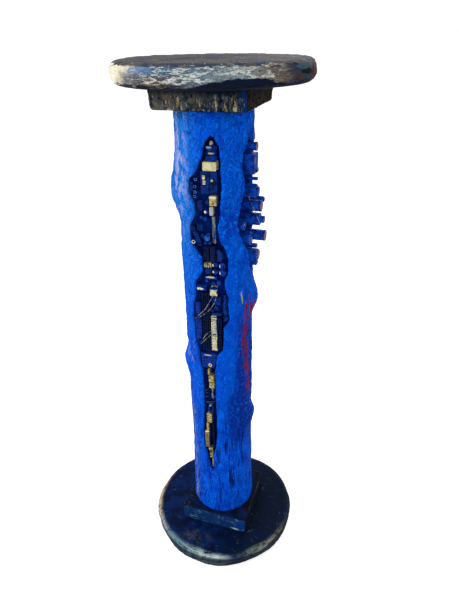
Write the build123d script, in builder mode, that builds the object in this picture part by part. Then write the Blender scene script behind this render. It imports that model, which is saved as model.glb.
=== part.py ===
from build123d import *

import os
from math import cos, exp, pi, radians, sin
from typing import NamedTuple

# A free-standing display column: a plastered shaft between two square plates and two round slabs.
# Two torn-open fissures in the shaft are packed with salvaged electronic parts.
# Millimetres, +Z up, origin on the floor under the middle of the base disc.
# The front is -Y and +X is to the right of somebody who faces it.

# Overall construction
DISC_DIAMETER = 306.0
DISC_THICKNESS = 25.0
DISC_EDGE_ROUND = 11.0
PLINTH_WIDTH = 145.0
PLINTH_THICKNESS = 37.0
SHAFT_RADIUS = 60.5
SHAFT_LENGTH = 824.0
CAPITAL_WIDTH = 145.0
CAPITAL_THICKNESS = 33.0
CAPITAL_FLARE = 5.0
SLAB_DIAMETER = 295.0
SLAB_THICKNESS = 31.0
SLAB_EDGE_ROUND = 10.0
PLATE_CORNER_ROUND = 7.0
PLATE_EDGE_ROUND = 4.0

# Hand-made wander of the two round outlines
OUTLINE_WANDER = 1.6
OUTLINE_POINTS = 28
EDGE_LAYERS = 6

# Plaster skin of the shaft
SKIN_POINTS = 24
SKIN_SECTIONS = 36
FOOT_FLARE = 3.0
FOOT_FLARE_REACH = 95.0

# Levels above the floor
PLINTH_FOOT = DISC_THICKNESS
SHAFT_FOOT = PLINTH_FOOT + PLINTH_THICKNESS
SHAFT_TOP = SHAFT_FOOT + SHAFT_LENGTH
SLAB_FOOT = SHAFT_TOP + CAPITAL_THICKNESS

# Fissures: azimuths are from the front towards the right, depths are from the round shaft's surface
FRONT_AZIMUTH = 5.0
FRONT_DEPTH = 18.5
SIDE_AZIMUTH = 90.0
SIDE_DEPTH = 16.5
FISSURE_REACH = 45.0


class Bulge(NamedTuple):
    """A swelling of the plaster: where it is, how far it stands out and how far it spreads."""

    azimuth: float
    drop: float
    height: float
    spread: float
    above: float
    below: float


BULGES = (
    Bulge(azimuth=-68.0, drop=129.0, height=12.0, spread=30.0, above=34.0, below=18.0),
    Bulge(azimuth=-64.0, drop=456.0, height=9.5, spread=25.0, above=11.0, below=12.0),
    Bulge(azimuth=108.0, drop=321.0, height=10.5, spread=26.0, above=18.0, below=12.0),
    Bulge(azimuth=108.0, drop=591.0, height=6.5, spread=24.0, above=11.0, below=11.0),
)

class Spot(NamedTuple):
    """A block on a fissure's floor: its middle, its width and length, and how tall it stands."""

    across: float
    drop: float
    width: float
    length: float
    tall: float


class Can(NamedTuple):
    """A round can on a fissure's floor: its middle, its radius and how tall it stands."""

    across: float
    drop: float
    radius: float
    tall: float


def foot_of(spot: Spot) -> float:
    """Give the drop of a block's lower end."""
    return spot.drop + spot.length / 2


def head_of(spot: Spot) -> float:
    """Give the drop of a block's upper end."""
    return spot.drop - spot.length / 2


# Front fissure, from its head down
JACK_ACROSS = 8.0
JACK_DROP = 41.0
JACK_TIP_LENGTH = 8.0
JACK_TIP_RADIUS = 5.0
JACK_NECK_RADIUS = 6.0
JACK_COLLAR_RADII = (8.6, 8.0, 9.4)
JACK_COLLAR_THICKNESS = 4.6
JACK_COLLAR_PITCH = 7.2
CRYSTAL_CAN = Spot(across=4.5, drop=78.5, width=20.8, length=13.2, tall=13.0)
CRYSTAL_FLANGE = 0.6
CRYSTAL_FLANGE_THICKNESS = 1.0
CRYSTAL_CORNER = 1.5
UPPER_MODULE = Spot(across=2.0, drop=104.0, width=26.0, length=34.0, tall=9.0)
MODULE_SEAM = 1.2
MODULE_SEAM_DEPTH = 3.0
MODULE_SEAM_ACROSS = 3.5
MODULE_CHIPS = (
    Spot(across=-5.5, drop=95.5, width=4.2, length=6.0, tall=2.0),
    Spot(across=-5.0, drop=103.5, width=4.2, length=6.0, tall=2.0),
    Spot(across=-4.0, drop=114.0, width=10.5, length=10.0, tall=2.6),
)
TEST_PIN = Can(across=8.0, drop=99.5, radius=2.6, tall=3.4)
TEST_PIN_STEM_WIDTH = 1.4
TEST_PIN_STEM_LENGTH = 14.0
EYELETS = (
    Can(across=-18.0, drop=99.0, radius=2.4, tall=12.0),
    Can(across=-19.5, drop=110.0, radius=2.4, tall=12.0),
    Can(across=-19.5, drop=118.5, radius=2.4, tall=12.0),
    Can(across=-20.5, drop=125.5, radius=2.4, tall=12.0),
    Can(across=-26.2, drop=200.5, radius=3.3, tall=11.5),
)
EYELET_WALL = 1.1
GOLD_TERMINAL_GAP = 2.75
GOLD_TERMINAL_LENGTH = 14.5
GOLD_TERMINAL = Spot(
    across=8.5,
    drop=foot_of(UPPER_MODULE) + GOLD_TERMINAL_GAP + GOLD_TERMINAL_LENGTH / 2,
    width=11.0,
    length=GOLD_TERMINAL_LENGTH,
    tall=13.5,
)
GOLD_TERMINAL_RIBS = 4
RIB_GAP = 0.8
RIB_DEPTH = 1.0
CREAM_LEVER_GAP = 2.25
CREAM_LEVER_LENGTH = 14.0
CREAM_LEVER = Spot(
    across=5.5,
    drop=foot_of(GOLD_TERMINAL) + CREAM_LEVER_GAP + CREAM_LEVER_LENGTH / 2,
    width=6.5,
    length=CREAM_LEVER_LENGTH,
    tall=12.0,
)
LEVER_NOSE = 2.2
TALL_CAPACITOR_ACROSS = 23.6
TALL_CAPACITOR_DROP = 295.0
TALL_CAPACITOR_NECK = 14.0
TALL_CAPACITOR_NECK_RADIUS = 3.3
TALL_CAPACITOR_BODY = 25.0
TALL_CAPACITOR_BODY_RADIUS = 4.4
FOOT_BLOCK_DROP = 7.0
tall_capacitor_foot = TALL_CAPACITOR_DROP + TALL_CAPACITOR_NECK + TALL_CAPACITOR_BODY
MOULDED_BLOCKS = (
    Spot(across=-25.6, drop=110.0, width=4.6, length=14.0, tall=10.5),
    Spot(across=-14.0, drop=140.0, width=8.0, length=16.0, tall=9.5),
    Spot(across=-3.2, drop=251.0, width=11.4, length=11.0, tall=10.5),
    Spot(across=9.0, drop=306.0, width=14.0, length=16.0, tall=9.5),
    Spot(across=8.2, drop=332.8, width=17.0, length=4.0, tall=10.0),
    Spot(across=24.6, drop=tall_capacitor_foot + FOOT_BLOCK_DROP, width=7.6, length=9.6, tall=8.0),
)
BLOCK_BEVEL = 0.8
SMALL_CAPACITORS = (
    Can(across=-1.5, drop=134.0, radius=3.0, tall=11.5),
    Can(across=-3.5, drop=149.5, radius=3.2, tall=12.0),
    Can(across=-4.5, drop=160.5, radius=3.1, tall=12.5),
    Can(across=-11.5, drop=158.5, radius=2.6, tall=12.0),
    Can(across=-10.5, drop=189.5, radius=3.1, tall=12.5),
    Can(across=-6.5, drop=201.0, radius=2.6, tall=12.5),
    Can(across=1.2, drop=201.2, radius=2.5, tall=12.0),
    Can(across=14.5, drop=270.6, radius=3.9, tall=12.5),
    Can(across=5.0, drop=273.4, radius=3.2, tall=12.0),
    Can(across=-7.0, drop=270.0, radius=3.0, tall=10.5),
    Can(across=8.0, drop=321.0, radius=4.3, tall=11.5),
    Can(across=0.8, drop=325.6, radius=3.2, tall=11.0),
)
SMALL_CAN_BEVEL = 0.7
RIMMED_CAPACITOR = Can(across=-2.5, drop=191.5, radius=4.6, tall=14.0)
CAPACITOR_RIM = 0.9
PIN_SOCKET = Spot(across=-14.5, drop=175.0, width=8.5, length=9.5, tall=11.0)
PIN_SOCKET_PITCH = 3.8
PIN_SOCKET_HOLE = 1.7
PIN_SOCKET_HOLE_DEPTH = 4.0
DIAGONAL_HEADER = Spot(across=-21.0, drop=191.0, width=6.4, length=34.0, tall=10.0)
HEADER_TILT = 22.0
HEADER_HOLES = 7
HEADER_HOLE = 2.2
HEADER_HOLE_PITCH = 4.4
HEADER_HOLE_DEPTH = 3.0
RELAY_LEFT = Spot(across=-4.9, drop=218.2, width=9.4, length=23.0, tall=13.5)
RELAY_MIDDLE = Spot(across=6.1, drop=218.0, width=9.8, length=27.0, tall=16.0)
BRAID_STRAP_HEAD_GAP = 2.5
BRAID_STRAP_FOOT_GAP = 3.5
strap_head = foot_of(CREAM_LEVER) + BRAID_STRAP_HEAD_GAP
strap_foot = head_of(RELAY_MIDDLE) - BRAID_STRAP_FOOT_GAP
BRAID_STRAP = Spot(
    across=8.5,
    drop=(strap_head + strap_foot) / 2,
    width=5.0,
    length=strap_foot - strap_head,
    tall=11.0,
)
BRAID_STRAP_THICKNESS = 2.0
RELAY_RIGHT = Spot(across=16.8, drop=221.5, width=8.8, length=20.0, tall=12.5)
RELAY_SEAM = 0.9
RELAY_CROWN = 3.4
RELAY_CUT_CORNER = 5.0
GOLD_COMB = Spot(across=-3.6, drop=239.6, width=12.4, length=7.4, tall=12.5)
GOLD_COMB_TEETH = 4
GOLD_COMB_GAP = 1.0
GOLD_COMB_DEPTH = 3.0
LARGE_CAPACITORS = (
    Can(across=9.0, drop=238.4, radius=4.8, tall=13.5),
    Can(across=9.0, drop=250.6, radius=4.8, tall=12.5),
    Can(across=21.6, drop=239.0, radius=5.4, tall=14.0),
    Can(across=21.6, drop=251.4, radius=5.4, tall=14.0),
)
CAN_BEVEL = 0.9
SPREADER_BAR = Spot(across=1.5, drop=262.4, width=20.0, length=5.0, tall=13.5)
SPREADER_CROWN = 2.2
AXIAL_CAPACITOR_ACROSS = -15.4
AXIAL_CAPACITOR_DROP = 283.6
AXIAL_CAPACITOR_RADIUS = 6.4
AXIAL_CAPACITOR_LENGTH = 16.0
CREAM_CONNECTOR = Spot(across=5.5, drop=287.6, width=12.4, length=13.6, tall=14.0)
CONNECTOR_RIBS = 2
SLOT_CONNECTORS = (
    Spot(across=-10.0, drop=316.4, width=13.0, length=47.0, tall=12.0),
    Spot(across=-10.0, drop=357.4, width=13.0, length=31.0, tall=12.0),
    Spot(across=-10.0, drop=391.6, width=13.0, length=33.0, tall=12.0),
    Spot(across=14.1, drop=355.4, width=6.4, length=32.0, tall=11.5),
    Spot(across=14.1, drop=389.0, width=6.4, length=29.0, tall=11.5),
)
SLOT_WIDTH = 1.4
SLOT_DEPTH = 6.0
SLOT_PITCH = 3.6
SLOT_END_WALL = 1.4
STACK_TOP = Spot(across=4.4, drop=339.2, width=10.8, length=6.4, tall=12.0)
STACK_MIDDLE = Spot(across=4.4, drop=359.8, width=10.8, length=31.0, tall=13.0)
STACK_RIBBED = Spot(across=4.4, drop=391.8, width=10.8, length=29.0, tall=13.0)
STACK_RIBS = 5
FLAT_PLATES = (
    Spot(across=-24.6, drop=327.0, width=9.2, length=27.0, tall=9.0),
    Spot(across=-24.4, drop=366.4, width=10.4, length=40.0, tall=10.0),
    Spot(across=-27.6, drop=392.4, width=3.6, length=6.0, tall=8.0),
)
WIRE_POSTS = (
    Spot(across=-31.2, drop=344.0, width=2.4, length=4.6, tall=15.0),
    Spot(across=-22.0, drop=392.6, width=2.6, length=6.0, tall=15.0),
)
WIRE_RADIUS = 0.5
WIRE_HEIGHT = 13.2
WIRE_END_GAP = 0.5
TAB_PLATE_TOP = 417.0
TAB_PLATE_LENGTH = 31.0
TAB_PLATE_CORNERS_TOP = (-23.4, 7.0)
TAB_PLATE_CORNERS_FOOT = (-20.4, 2.0)
TAB_PLATE_TALL = 10.5
TAB_HOLE_RADIUS = 1.5
TAB_HOLE_DEPTH = 5.0
TAB_HOLES = ((-17.6, 427.0), (-12.0, 427.0), (-5.0, 427.0), (-17.6, 440.0), (-12.6, 440.0))
RING_NUT = Can(across=-6.0, drop=440.6, radius=3.5, tall=2.4)
RING_NUT_WALL = 1.8
BRASS_STRIPS = (
    Spot(across=-9.0, drop=456.4, width=3.4, length=11.0, tall=13.0),
    Spot(across=-15.9, drop=592.6, width=4.4, length=18.0, tall=11.5),
)
BRASS_BLOCKS = (
    Spot(across=-4.2, drop=472.0, width=10.2, length=13.4, tall=13.5),
    Spot(across=-3.8, drop=487.0, width=10.2, length=12.0, tall=13.5),
)
BRASS_SPLIT = 1.2
BRASS_SPLIT_DEPTH = 3.0
BRASS_SLANT = -10.0
TWIST_WIDTH = 4.2
TWIST_THICKNESS = 1.6
TWIST_LENGTH = 26.0
TWIST_TURN = 180.0
TWIST_SECTIONS = 7
TWIST_HEIGHT = 10.0


class Arch(NamedTuple):
    """A stiff lead bent over like a staple: its middle, its span, its tilt and its height."""

    across: float
    drop: float
    span: float
    tilt: float
    tall: float


LEAD_ARCHES = (
    Arch(across=-14.6, drop=499.0, span=6.4, tilt=20.0, tall=13.0),
    Arch(across=-14.8, drop=506.5, span=6.0, tilt=-14.0, tall=11.0),
    Arch(across=2.0, drop=502.0, span=3.8, tilt=-24.0, tall=12.0),
    Arch(across=1.9, drop=510.5, span=4.0, tilt=12.0, tall=13.5),
    Arch(across=-14.4, drop=515.0, span=6.6, tilt=8.0, tall=12.5),
    Arch(across=-7.0, drop=525.5, span=18.0, tilt=9.0, tall=14.0),
    Arch(across=-7.4, drop=531.5, span=15.0, tilt=-6.0, tall=11.5),
)
LEAD_RADIUS = 0.8
LEAD_BEND = 2.0
OVAL_FERRITE = Spot(across=-8.0, drop=545.4, width=10.4, length=18.6, tall=12.0)
OVAL_FERRITE_WALL = 3.2
SLANTED_TABS = 4
SLANTED_TAB = Spot(across=-11.6, drop=560.6, width=10.2, length=3.2, tall=13.0)
SLANTED_TAB_PITCH = 5.4
SLANTED_TAB_TILT = -16.0
BRASS_BAR = Spot(across=-17.6, drop=624.6, width=8.0, length=40.0, tall=13.5)
BRASS_BAR_BEVEL = 3.0
DARK_CHANNEL = Spot(across=-7.8, drop=614.4, width=9.0, length=61.0, tall=10.5)
CHANNEL_WALL = 1.5
TAIL_TABS = (
    Spot(across=-12.0, drop=653.2, width=8.6, length=6.4, tall=11.5),
    Spot(across=-10.6, drop=669.4, width=7.0, length=13.0, tall=11.5),
    Spot(across=-7.8, drop=690.4, width=3.0, length=22.0, tall=12.0),
)

# Side fissure, from its head down
SIDE_TOP_BLOCK = Spot(across=0.0, drop=42.0, width=8.0, length=11.0, tall=20.0)
SIDE_CAPACITORS = (
    Can(across=-2.0, drop=56.4, radius=6.6, tall=25.0),
    Can(across=0.4, drop=149.6, radius=9.2, tall=33.0),
    Can(across=9.6, drop=202.4, radius=9.2, tall=38.0),
    Can(across=15.0, drop=240.0, radius=8.6, tall=25.5),
)
CAN_GROOVE = 0.8
CAN_GROOVE_WIDTH = 1.6
CAN_COLLAR = 3.6
RIBBED_TRANSFORMER = Spot(across=-5.0, drop=81.0, width=22.0, length=30.0, tall=24.5)
TRANSFORMER_RIBS = 4
TRANSFORMER_GAP = 1.6
TRANSFORMER_GAP_DEPTH = 2.0
TRANSFORMER_BUMP = Spot(across=-2.0, drop=92.0, width=10.0, length=6.0, tall=26.5)
SIDE_PIN = Can(across=0.0, drop=106.0, radius=2.8, tall=26.0)
HEX_CAP = Can(across=0.0, drop=126.0, radius=12.2, tall=24.5)
HEX_CAP_CROWN_RADIUS = 7.6
HEX_CAP_CROWN = 3.4
DOMED_CAN = Can(across=15.4, drop=143.0, radius=5.0, tall=34.0)
DOME_ROUND = 4.0
SIDE_WIRE_GAP = 0.3
SIDE_WIRE_HEAD = (14.0, 131.0)
SIDE_WIRE_FOOT = (33.0, 174.0)
COAX_BODY = Can(across=0.0, drop=171.6, radius=10.2, tall=31.0)
COAX_NECK_RADIUS = 5.8
COAX_NECK = 7.0
POT_CORE = Can(across=-21.6, drop=175.0, radius=9.6, tall=11.0)
POT_CORE_SPOT_RADIUS = 3.0
POT_CORE_RECESS = 1.2
SPOT_CAN = Can(across=-12.2, drop=202.0, radius=10.8, tall=20.0)
SPOT_CAN_SPOT_RADIUS = 3.6
SPOT_CAN_SPOT = 1.0
GOLD_LUG = Spot(across=1.0, drop=218.6, width=6.0, length=6.4, tall=26.5)
STACKED_PLATE = Spot(across=-4.2, drop=238.6, width=2.4, length=27.0, tall=27.0)
STACKED_PLATES = 3
STACKED_PLATE_PITCH = 4.2


# The front fissure's right lip pinches between the large capacitors and the tall one
LIP_PINCH_SHARE = 0.372
TALL_BAY_HEAD = 5.0
TALL_BAY_SIDE = 51.0
TALL_BAY_FOOT = 62.0
pinch_head = LARGE_CAPACITORS[-1].drop + LARGE_CAPACITORS[-1].radius
LIP_PINCH_DROP = pinch_head + (TALL_CAPACITOR_DROP - pinch_head) * LIP_PINCH_SHARE

# Torn edges of the fissures as (across, drop): across is to the right of the fissure's own middle
# plane, and drop is the distance down from the shaft's top. Each runs clockwise from its head.
FRONT_LIPS = (
    (10.0, 31.0),
    (21.5, 50.0),
    (22.5, 84.0),
    (22.5, 122.0),
    (19.5, 150.0),
    (16.0, 172.0),
    (17.5, 194.0),
    (27.0, 210.0),
    (31.0, 230.0),
    (29.5, 252.0),
    (24.0, LIP_PINCH_DROP),
    (30.5, TALL_CAPACITOR_DROP + TALL_BAY_HEAD),
    (31.0, TALL_CAPACITOR_DROP + TALL_BAY_SIDE),
    (21.5, TALL_CAPACITOR_DROP + TALL_BAY_FOOT),
    (20.5, 404.0),
    (9.5, 416.0),
    (5.0, 452.0),
    (5.5, 500.0),
    (5.0, 600.0),
    (1.0, 638.0),
    (-4.0, 664.0),
    (-4.0, 696.0),
    (-7.5, 718.0),
    (-11.5, 698.0),
    (-17.5, 676.0),
    (-19.5, 659.0),
    (-24.0, 646.0),
    (-24.5, 600.0),
    (-20.5, 540.0),
    (-20.0, 486.0),
    (-20.5, 456.0),
    (-25.5, 436.0),
    (-26.0, 414.0),
    (-31.0, 396.0),
    (-32.0, 356.0),
    (-35.5, 342.0),
    (-31.0, 312.0),
    (-26.5, 290.0),
    (-25.5, 271.0),
    (-11.5, 250.0),
    (-12.5, 224.0),
    (-27.0, 208.0),
    (-31.5, 198.0),
    (-32.0, 172.0),
    (-20.5, 153.0),
    (-21.5, 137.0),
    (-30.5, 120.0),
    (-29.5, 100.0),
    (-16.5, 86.0),
    (-5.5, 62.0),
    (-2.8, 46.0),
)
SIDE_LIPS = (
    (2.0, 26.0),
    (10.0, 40.0),
    (17.0, 62.0),
    (21.0, 92.0),
    (24.0, 150.0),
    (23.0, 200.0),
    (25.5, 243.0),
    (14.0, 258.0),
    (2.0, 264.0),
    (-8.0, 252.0),
    (-10.0, 226.0),
    (-20.5, 215.0),
    (-27.0, 203.0),
    (-34.0, 184.0),
    (-36.5, 170.0),
    (-32.0, 150.0),
    (-23.5, 118.0),
    (-21.5, 104.0),
    (-28.5, 84.0),
    (-26.5, 64.0),
    (-17.0, 50.0),
    (-6.0, 34.0),
)


def around(azimuth: float, radius: float) -> tuple[float, float]:
    """The point of a level plane at an azimuth from the front towards the right."""
    return radius * sin(radians(azimuth)), -radius * cos(radians(azimuth))


def skin_radius(azimuth: float, drop: float) -> float:
    """Radius of the plaster skin: the plain shaft, its flared foot and its bulges."""
    above_foot = SHAFT_LENGTH - drop
    radius = SHAFT_RADIUS + FOOT_FLARE * exp(-((above_foot / FOOT_FLARE_REACH) ** 2))
    for bulge in BULGES:
        turn = (azimuth - bulge.azimuth + 180.0) % 360.0 - 180.0
        slide = drop - bulge.drop
        reach = bulge.below if slide > 0 else bulge.above
        radius += bulge.height * exp(-((turn / bulge.spread) ** 2) - (slide / reach) ** 2 / 2)
    return radius


def wandering_radius(radius: float, azimuth: float, phase: float) -> float:
    """Radius of a hand-cut round outline, which wanders in and out by OUTLINE_WANDER."""
    turn = radians(azimuth)
    slow = sin(3 * turn + phase) + 0.6 * sin(5 * turn + 2.1 * phase)
    return radius + OUTLINE_WANDER * (slow + 0.45 * sin(8 * turn - phase))


def facing(azimuth: float, distance: float) -> Plane:
    """Upright plane at a distance from the shaft's axis, with its origin level with the shaft's top.

    Its x runs across to the right, its y runs up, and its z points away from the shaft.
    """
    outward = (sin(radians(azimuth)), -cos(radians(azimuth)), 0)
    across = (cos(radians(azimuth)), sin(radians(azimuth)), 0)
    return Plane(origin=(0, 0, SHAFT_TOP), x_dir=across, z_dir=outward).offset(distance)


def pebble_slab(diameter: float, thickness: float, edge_round: float, foot: float, phase: float) -> Part:
    """Round slab with flat faces, a wandering outline and an edge that is rounded like a pebble's."""
    with BuildPart() as slab:
        for layer in range(EDGE_LAYERS):
            share = layer / (EDGE_LAYERS - 1)
            inset = edge_round * abs(2 * share - 1) ** 3
            with BuildSketch(Plane.XY.offset(foot + thickness * share)):
                with BuildLine():
                    turns = [360 * step / OUTLINE_POINTS for step in range(OUTLINE_POINTS)]
                    Spline(
                        *[around(t, wandering_radius(diameter / 2 - inset, t, phase)) for t in turns],
                        periodic=True,
                    )
                make_face()
        loft()
    return slab.part


def square_plate(width: float, thickness: float, foot: float, flare: float = 0.0) -> Part:
    """Square plate with softened corners and edges, whose sides lean out by the flare."""
    with BuildPart() as plate:
        with BuildSketch(Plane.XY.offset(foot)):
            RectangleRounded(width, width, PLATE_CORNER_ROUND)
        extrude(amount=thickness, taper=-flare)
        rims = plate.edges().group_by(Axis.Z)
        fillet(rims[0] + rims[-1], min(PLATE_EDGE_ROUND, thickness / 3))
    return plate.part


def blocks(floor: Plane, spots: tuple[Spot, ...], crown: float = 0.0) -> Part:
    """Plain upright blocks on a floor, with their outer rims bevelled by the crown."""
    with BuildPart() as group:
        for spot in spots:
            with BuildSketch(floor):
                with Locations((spot.across, -spot.drop)):
                    Rectangle(spot.width, spot.length)
            extrude(amount=spot.tall)
        if crown:
            outward = Axis(floor.origin, floor.z_dir)
            rims = [solid.faces().sort_by(outward)[-1].edges() for solid in group.solids()]
            chamfer([edge for rim in rims for edge in rim], crown)
    return group.part


def ribbed_blocks(floor: Plane, spots: tuple[Spot, ...], ribs: int) -> Part:
    """Blocks with level grooves across their faces, which leave the given number of ribs."""
    with BuildPart() as group:
        for spot in spots:
            with BuildSketch(floor):
                with Locations((spot.across, -spot.drop)):
                    Rectangle(spot.width, spot.length)
            extrude(amount=spot.tall)
            with BuildSketch(floor.offset(spot.tall)):
                with Locations((spot.across, -spot.drop)):
                    with GridLocations(0, spot.length / ribs, 1, ribs - 1):
                        Rectangle(spot.width, RIB_GAP)
            extrude(amount=-RIB_DEPTH, mode=Mode.SUBTRACT)
    return group.part


def cans(floor: Plane, spots: tuple[Can, ...], bevel: float) -> Part:
    """Round cans that stand on a floor, with bevelled ends."""
    with BuildPart() as group:
        for spot in spots:
            with BuildSketch(floor):
                with Locations((spot.across, -spot.drop)):
                    Circle(spot.radius)
            extrude(amount=spot.tall)
        outward = Axis(floor.origin, floor.z_dir)
        rims = [solid.faces().sort_by(outward)[-1].edges() for solid in group.solids()]
        chamfer([edge for rim in rims for edge in rim], bevel)
    return group.part


def tubes(floor: Plane, spots: tuple[Can, ...], wall: float) -> Part:
    """Open tubes that stand on a floor."""
    with BuildPart() as group:
        for spot in spots:
            with BuildSketch(floor):
                with Locations((spot.across, -spot.drop)):
                    Circle(spot.radius)
                    Circle(spot.radius - wall, mode=Mode.SUBTRACT)
            extrude(amount=spot.tall)
    return group.part


def collared_cans(floor: Plane, spots: tuple[Can, ...]) -> Part:
    """Electrolytic cans with a rolled groove below their open ends."""
    with BuildPart() as group:
        for spot in spots:
            with BuildSketch(floor):
                with Locations((spot.across, -spot.drop)):
                    Circle(spot.radius)
            extrude(amount=spot.tall)
            with BuildSketch(floor.offset(spot.tall - CAN_COLLAR - CAN_GROOVE_WIDTH)):
                with Locations((spot.across, -spot.drop)):
                    Circle(spot.radius)
                    Circle(spot.radius - CAN_GROOVE, mode=Mode.SUBTRACT)
            extrude(amount=CAN_GROOVE_WIDTH, mode=Mode.SUBTRACT)
    return group.part


def bend_radii(points: list[tuple[float, float]]) -> list[float]:
    """Largest even bends that a wire's route has room for, one for each inner point."""
    corners = [Vector(*point) for point in points]
    radii = []
    for before, corner, after in zip(corners, corners[1:], corners[2:]):
        turn = radians((corner - before).get_angle(after - corner))
        run = min((corner - before).length, (after - corner).length)
        radii.append(0.45 * run * cos(turn / 2) / sin(turn / 2))
    return radii


def wires(plane: Plane, routes: tuple[tuple[tuple[float, float], ...], ...]) -> Part:
    """Thin wires along flat routes of (across, drop) points."""
    with BuildPart() as group:
        for route in routes:
            points = [(across, -drop) for across, drop in route]
            with BuildLine(plane) as path:
                FilletPolyline(*points, radius=bend_radii(points))
            with BuildSketch(Plane(origin=path.line @ 0, z_dir=path.line % 0)):
                Circle(WIRE_RADIUS)
            sweep(path=path.line)
    return group.part


def fissure(plane: Plane, lips: tuple[tuple[float, float], ...]) -> Part:
    """Cutter for a torn fissure, from its flat floor outwards."""
    with BuildPart() as cutter:
        with BuildSketch(plane):
            with BuildLine():
                Polyline(*[(across, -drop) for across, drop in lips], close=True)
            make_face()
        extrude(amount=FISSURE_REACH)
    return cutter.part


front = facing(FRONT_AZIMUTH, SHAFT_RADIUS - FRONT_DEPTH)
side = facing(SIDE_AZIMUTH, SHAFT_RADIUS - SIDE_DEPTH)

# Base disc, plinth, capital and top slab
base_disc = pebble_slab(DISC_DIAMETER, DISC_THICKNESS, DISC_EDGE_ROUND, 0, 0.9)
base_plinth = square_plate(PLINTH_WIDTH, PLINTH_THICKNESS, PLINTH_FOOT)
capital_plate = square_plate(CAPITAL_WIDTH, CAPITAL_THICKNESS, SHAFT_TOP, CAPITAL_FLARE)
top_slab = pebble_slab(SLAB_DIAMETER, SLAB_THICKNESS, SLAB_EDGE_ROUND, SLAB_FOOT, 2.6)

# Shaft: a plaster skin lofted over its bulges, then torn open at the front and at the side
with BuildPart() as shaft:
    for section in range(SKIN_SECTIONS):
        station = SHAFT_LENGTH * (1 - section / (SKIN_SECTIONS - 1))
        with BuildSketch(Plane.XY.offset(SHAFT_TOP - station)):
            with BuildLine():
                turns = [360 * step / SKIN_POINTS for step in range(SKIN_POINTS)]
                Spline(*[around(t, skin_radius(t, station)) for t in turns], periodic=True)
            make_face()
    loft()
    add(fissure(front, FRONT_LIPS), mode=Mode.SUBTRACT)
    add(fissure(side, SIDE_LIPS), mode=Mode.SUBTRACT)

# Turned jack plug at the head of the front fissure
jack_reach = max(JACK_COLLAR_RADII)
jack_plane = front.offset(jack_reach)
jack_length = JACK_TIP_LENGTH + JACK_COLLAR_PITCH * len(JACK_COLLAR_RADII)
with BuildPart() as jack_plug:
    with BuildSketch(jack_plane):
        with Locations((JACK_ACROSS, -JACK_DROP)):
            Polygon(
                (0, 0),
                (0, -jack_length),
                (JACK_NECK_RADIUS, -jack_length),
                (JACK_NECK_RADIUS, -JACK_TIP_LENGTH),
                (JACK_TIP_RADIUS, -JACK_TIP_LENGTH),
                (JACK_TIP_RADIUS / 4, 0),
                align=None,
            )
        for order, collar_radius in enumerate(JACK_COLLAR_RADII):
            collar_drop = JACK_DROP + JACK_TIP_LENGTH + order * JACK_COLLAR_PITCH
            with Locations((JACK_ACROSS, -collar_drop)):
                Rectangle(collar_radius, JACK_COLLAR_THICKNESS, align=(Align.MIN, Align.MAX))
    revolve(axis=Axis(jack_plane.from_local_coords((JACK_ACROSS, 0, 0)), (0, 0, 1)))

# Quartz crystal in its drawn can, on its flange
with BuildPart() as crystal_can:
    with BuildSketch(front):
        with Locations((CRYSTAL_CAN.across, -CRYSTAL_CAN.drop)):
            RectangleRounded(
                CRYSTAL_CAN.width + 2 * CRYSTAL_FLANGE,
                CRYSTAL_CAN.length + 2 * CRYSTAL_FLANGE,
                CRYSTAL_CORNER,
            )
    extrude(amount=CRYSTAL_FLANGE_THICKNESS)
    with BuildSketch(front):
        with Locations((CRYSTAL_CAN.across, -CRYSTAL_CAN.drop)):
            RectangleRounded(CRYSTAL_CAN.width, CRYSTAL_CAN.length, CRYSTAL_CORNER)
    extrude(amount=CRYSTAL_CAN.tall)

# Module housing with the seam between its two halves, and what stands on it
with BuildPart() as upper_module:
    with BuildSketch(front):
        with Locations((UPPER_MODULE.across, -UPPER_MODULE.drop)):
            Rectangle(UPPER_MODULE.width, UPPER_MODULE.length)
    extrude(amount=UPPER_MODULE.tall)
    with BuildSketch(front.offset(UPPER_MODULE.tall)):
        with Locations((MODULE_SEAM_ACROSS, -UPPER_MODULE.drop)):
            Rectangle(MODULE_SEAM, UPPER_MODULE.length)
    extrude(amount=-MODULE_SEAM_DEPTH, mode=Mode.SUBTRACT)
module_face = front.offset(UPPER_MODULE.tall)
module_chips = blocks(module_face, MODULE_CHIPS)
with BuildPart() as test_pin:
    with BuildSketch(module_face):
        with Locations((TEST_PIN.across, -TEST_PIN.drop)):
            Circle(TEST_PIN.radius)
    extrude(amount=TEST_PIN.tall)
    with BuildSketch(module_face):
        with Locations((TEST_PIN.across, -TEST_PIN.drop)):
            Rectangle(TEST_PIN_STEM_WIDTH, TEST_PIN_STEM_LENGTH, align=(Align.CENTER, Align.MAX))
    extrude(amount=TEST_PIN.tall / 2)

eyelets = tubes(front, EYELETS, EYELET_WALL)
moulded_blocks = blocks(front, MOULDED_BLOCKS)
gold_terminal = ribbed_blocks(front, (GOLD_TERMINAL,), GOLD_TERMINAL_RIBS)

# Lever with a rounded nose
with BuildPart() as cream_lever:
    with BuildSketch(front):
        with Locations((CREAM_LEVER.across, -CREAM_LEVER.drop)):
            RectangleRounded(CREAM_LEVER.width, CREAM_LEVER.length, LEVER_NOSE)
    extrude(amount=CREAM_LEVER.tall)

# Braided strap that bridges between its two feet
with BuildPart() as braid_strap:
    with BuildSketch(front):
        with Locations((BRAID_STRAP.across, -BRAID_STRAP.drop)):
            Rectangle(BRAID_STRAP.width, BRAID_STRAP.length)
    extrude(amount=BRAID_STRAP.tall)
    with BuildSketch(front):
        with Locations((BRAID_STRAP.across, -BRAID_STRAP.drop)):
            Rectangle(BRAID_STRAP.width, BRAID_STRAP.length - 2 * BRAID_STRAP_THICKNESS)
    extrude(amount=BRAID_STRAP.tall - BRAID_STRAP_THICKNESS, mode=Mode.SUBTRACT)

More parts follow.
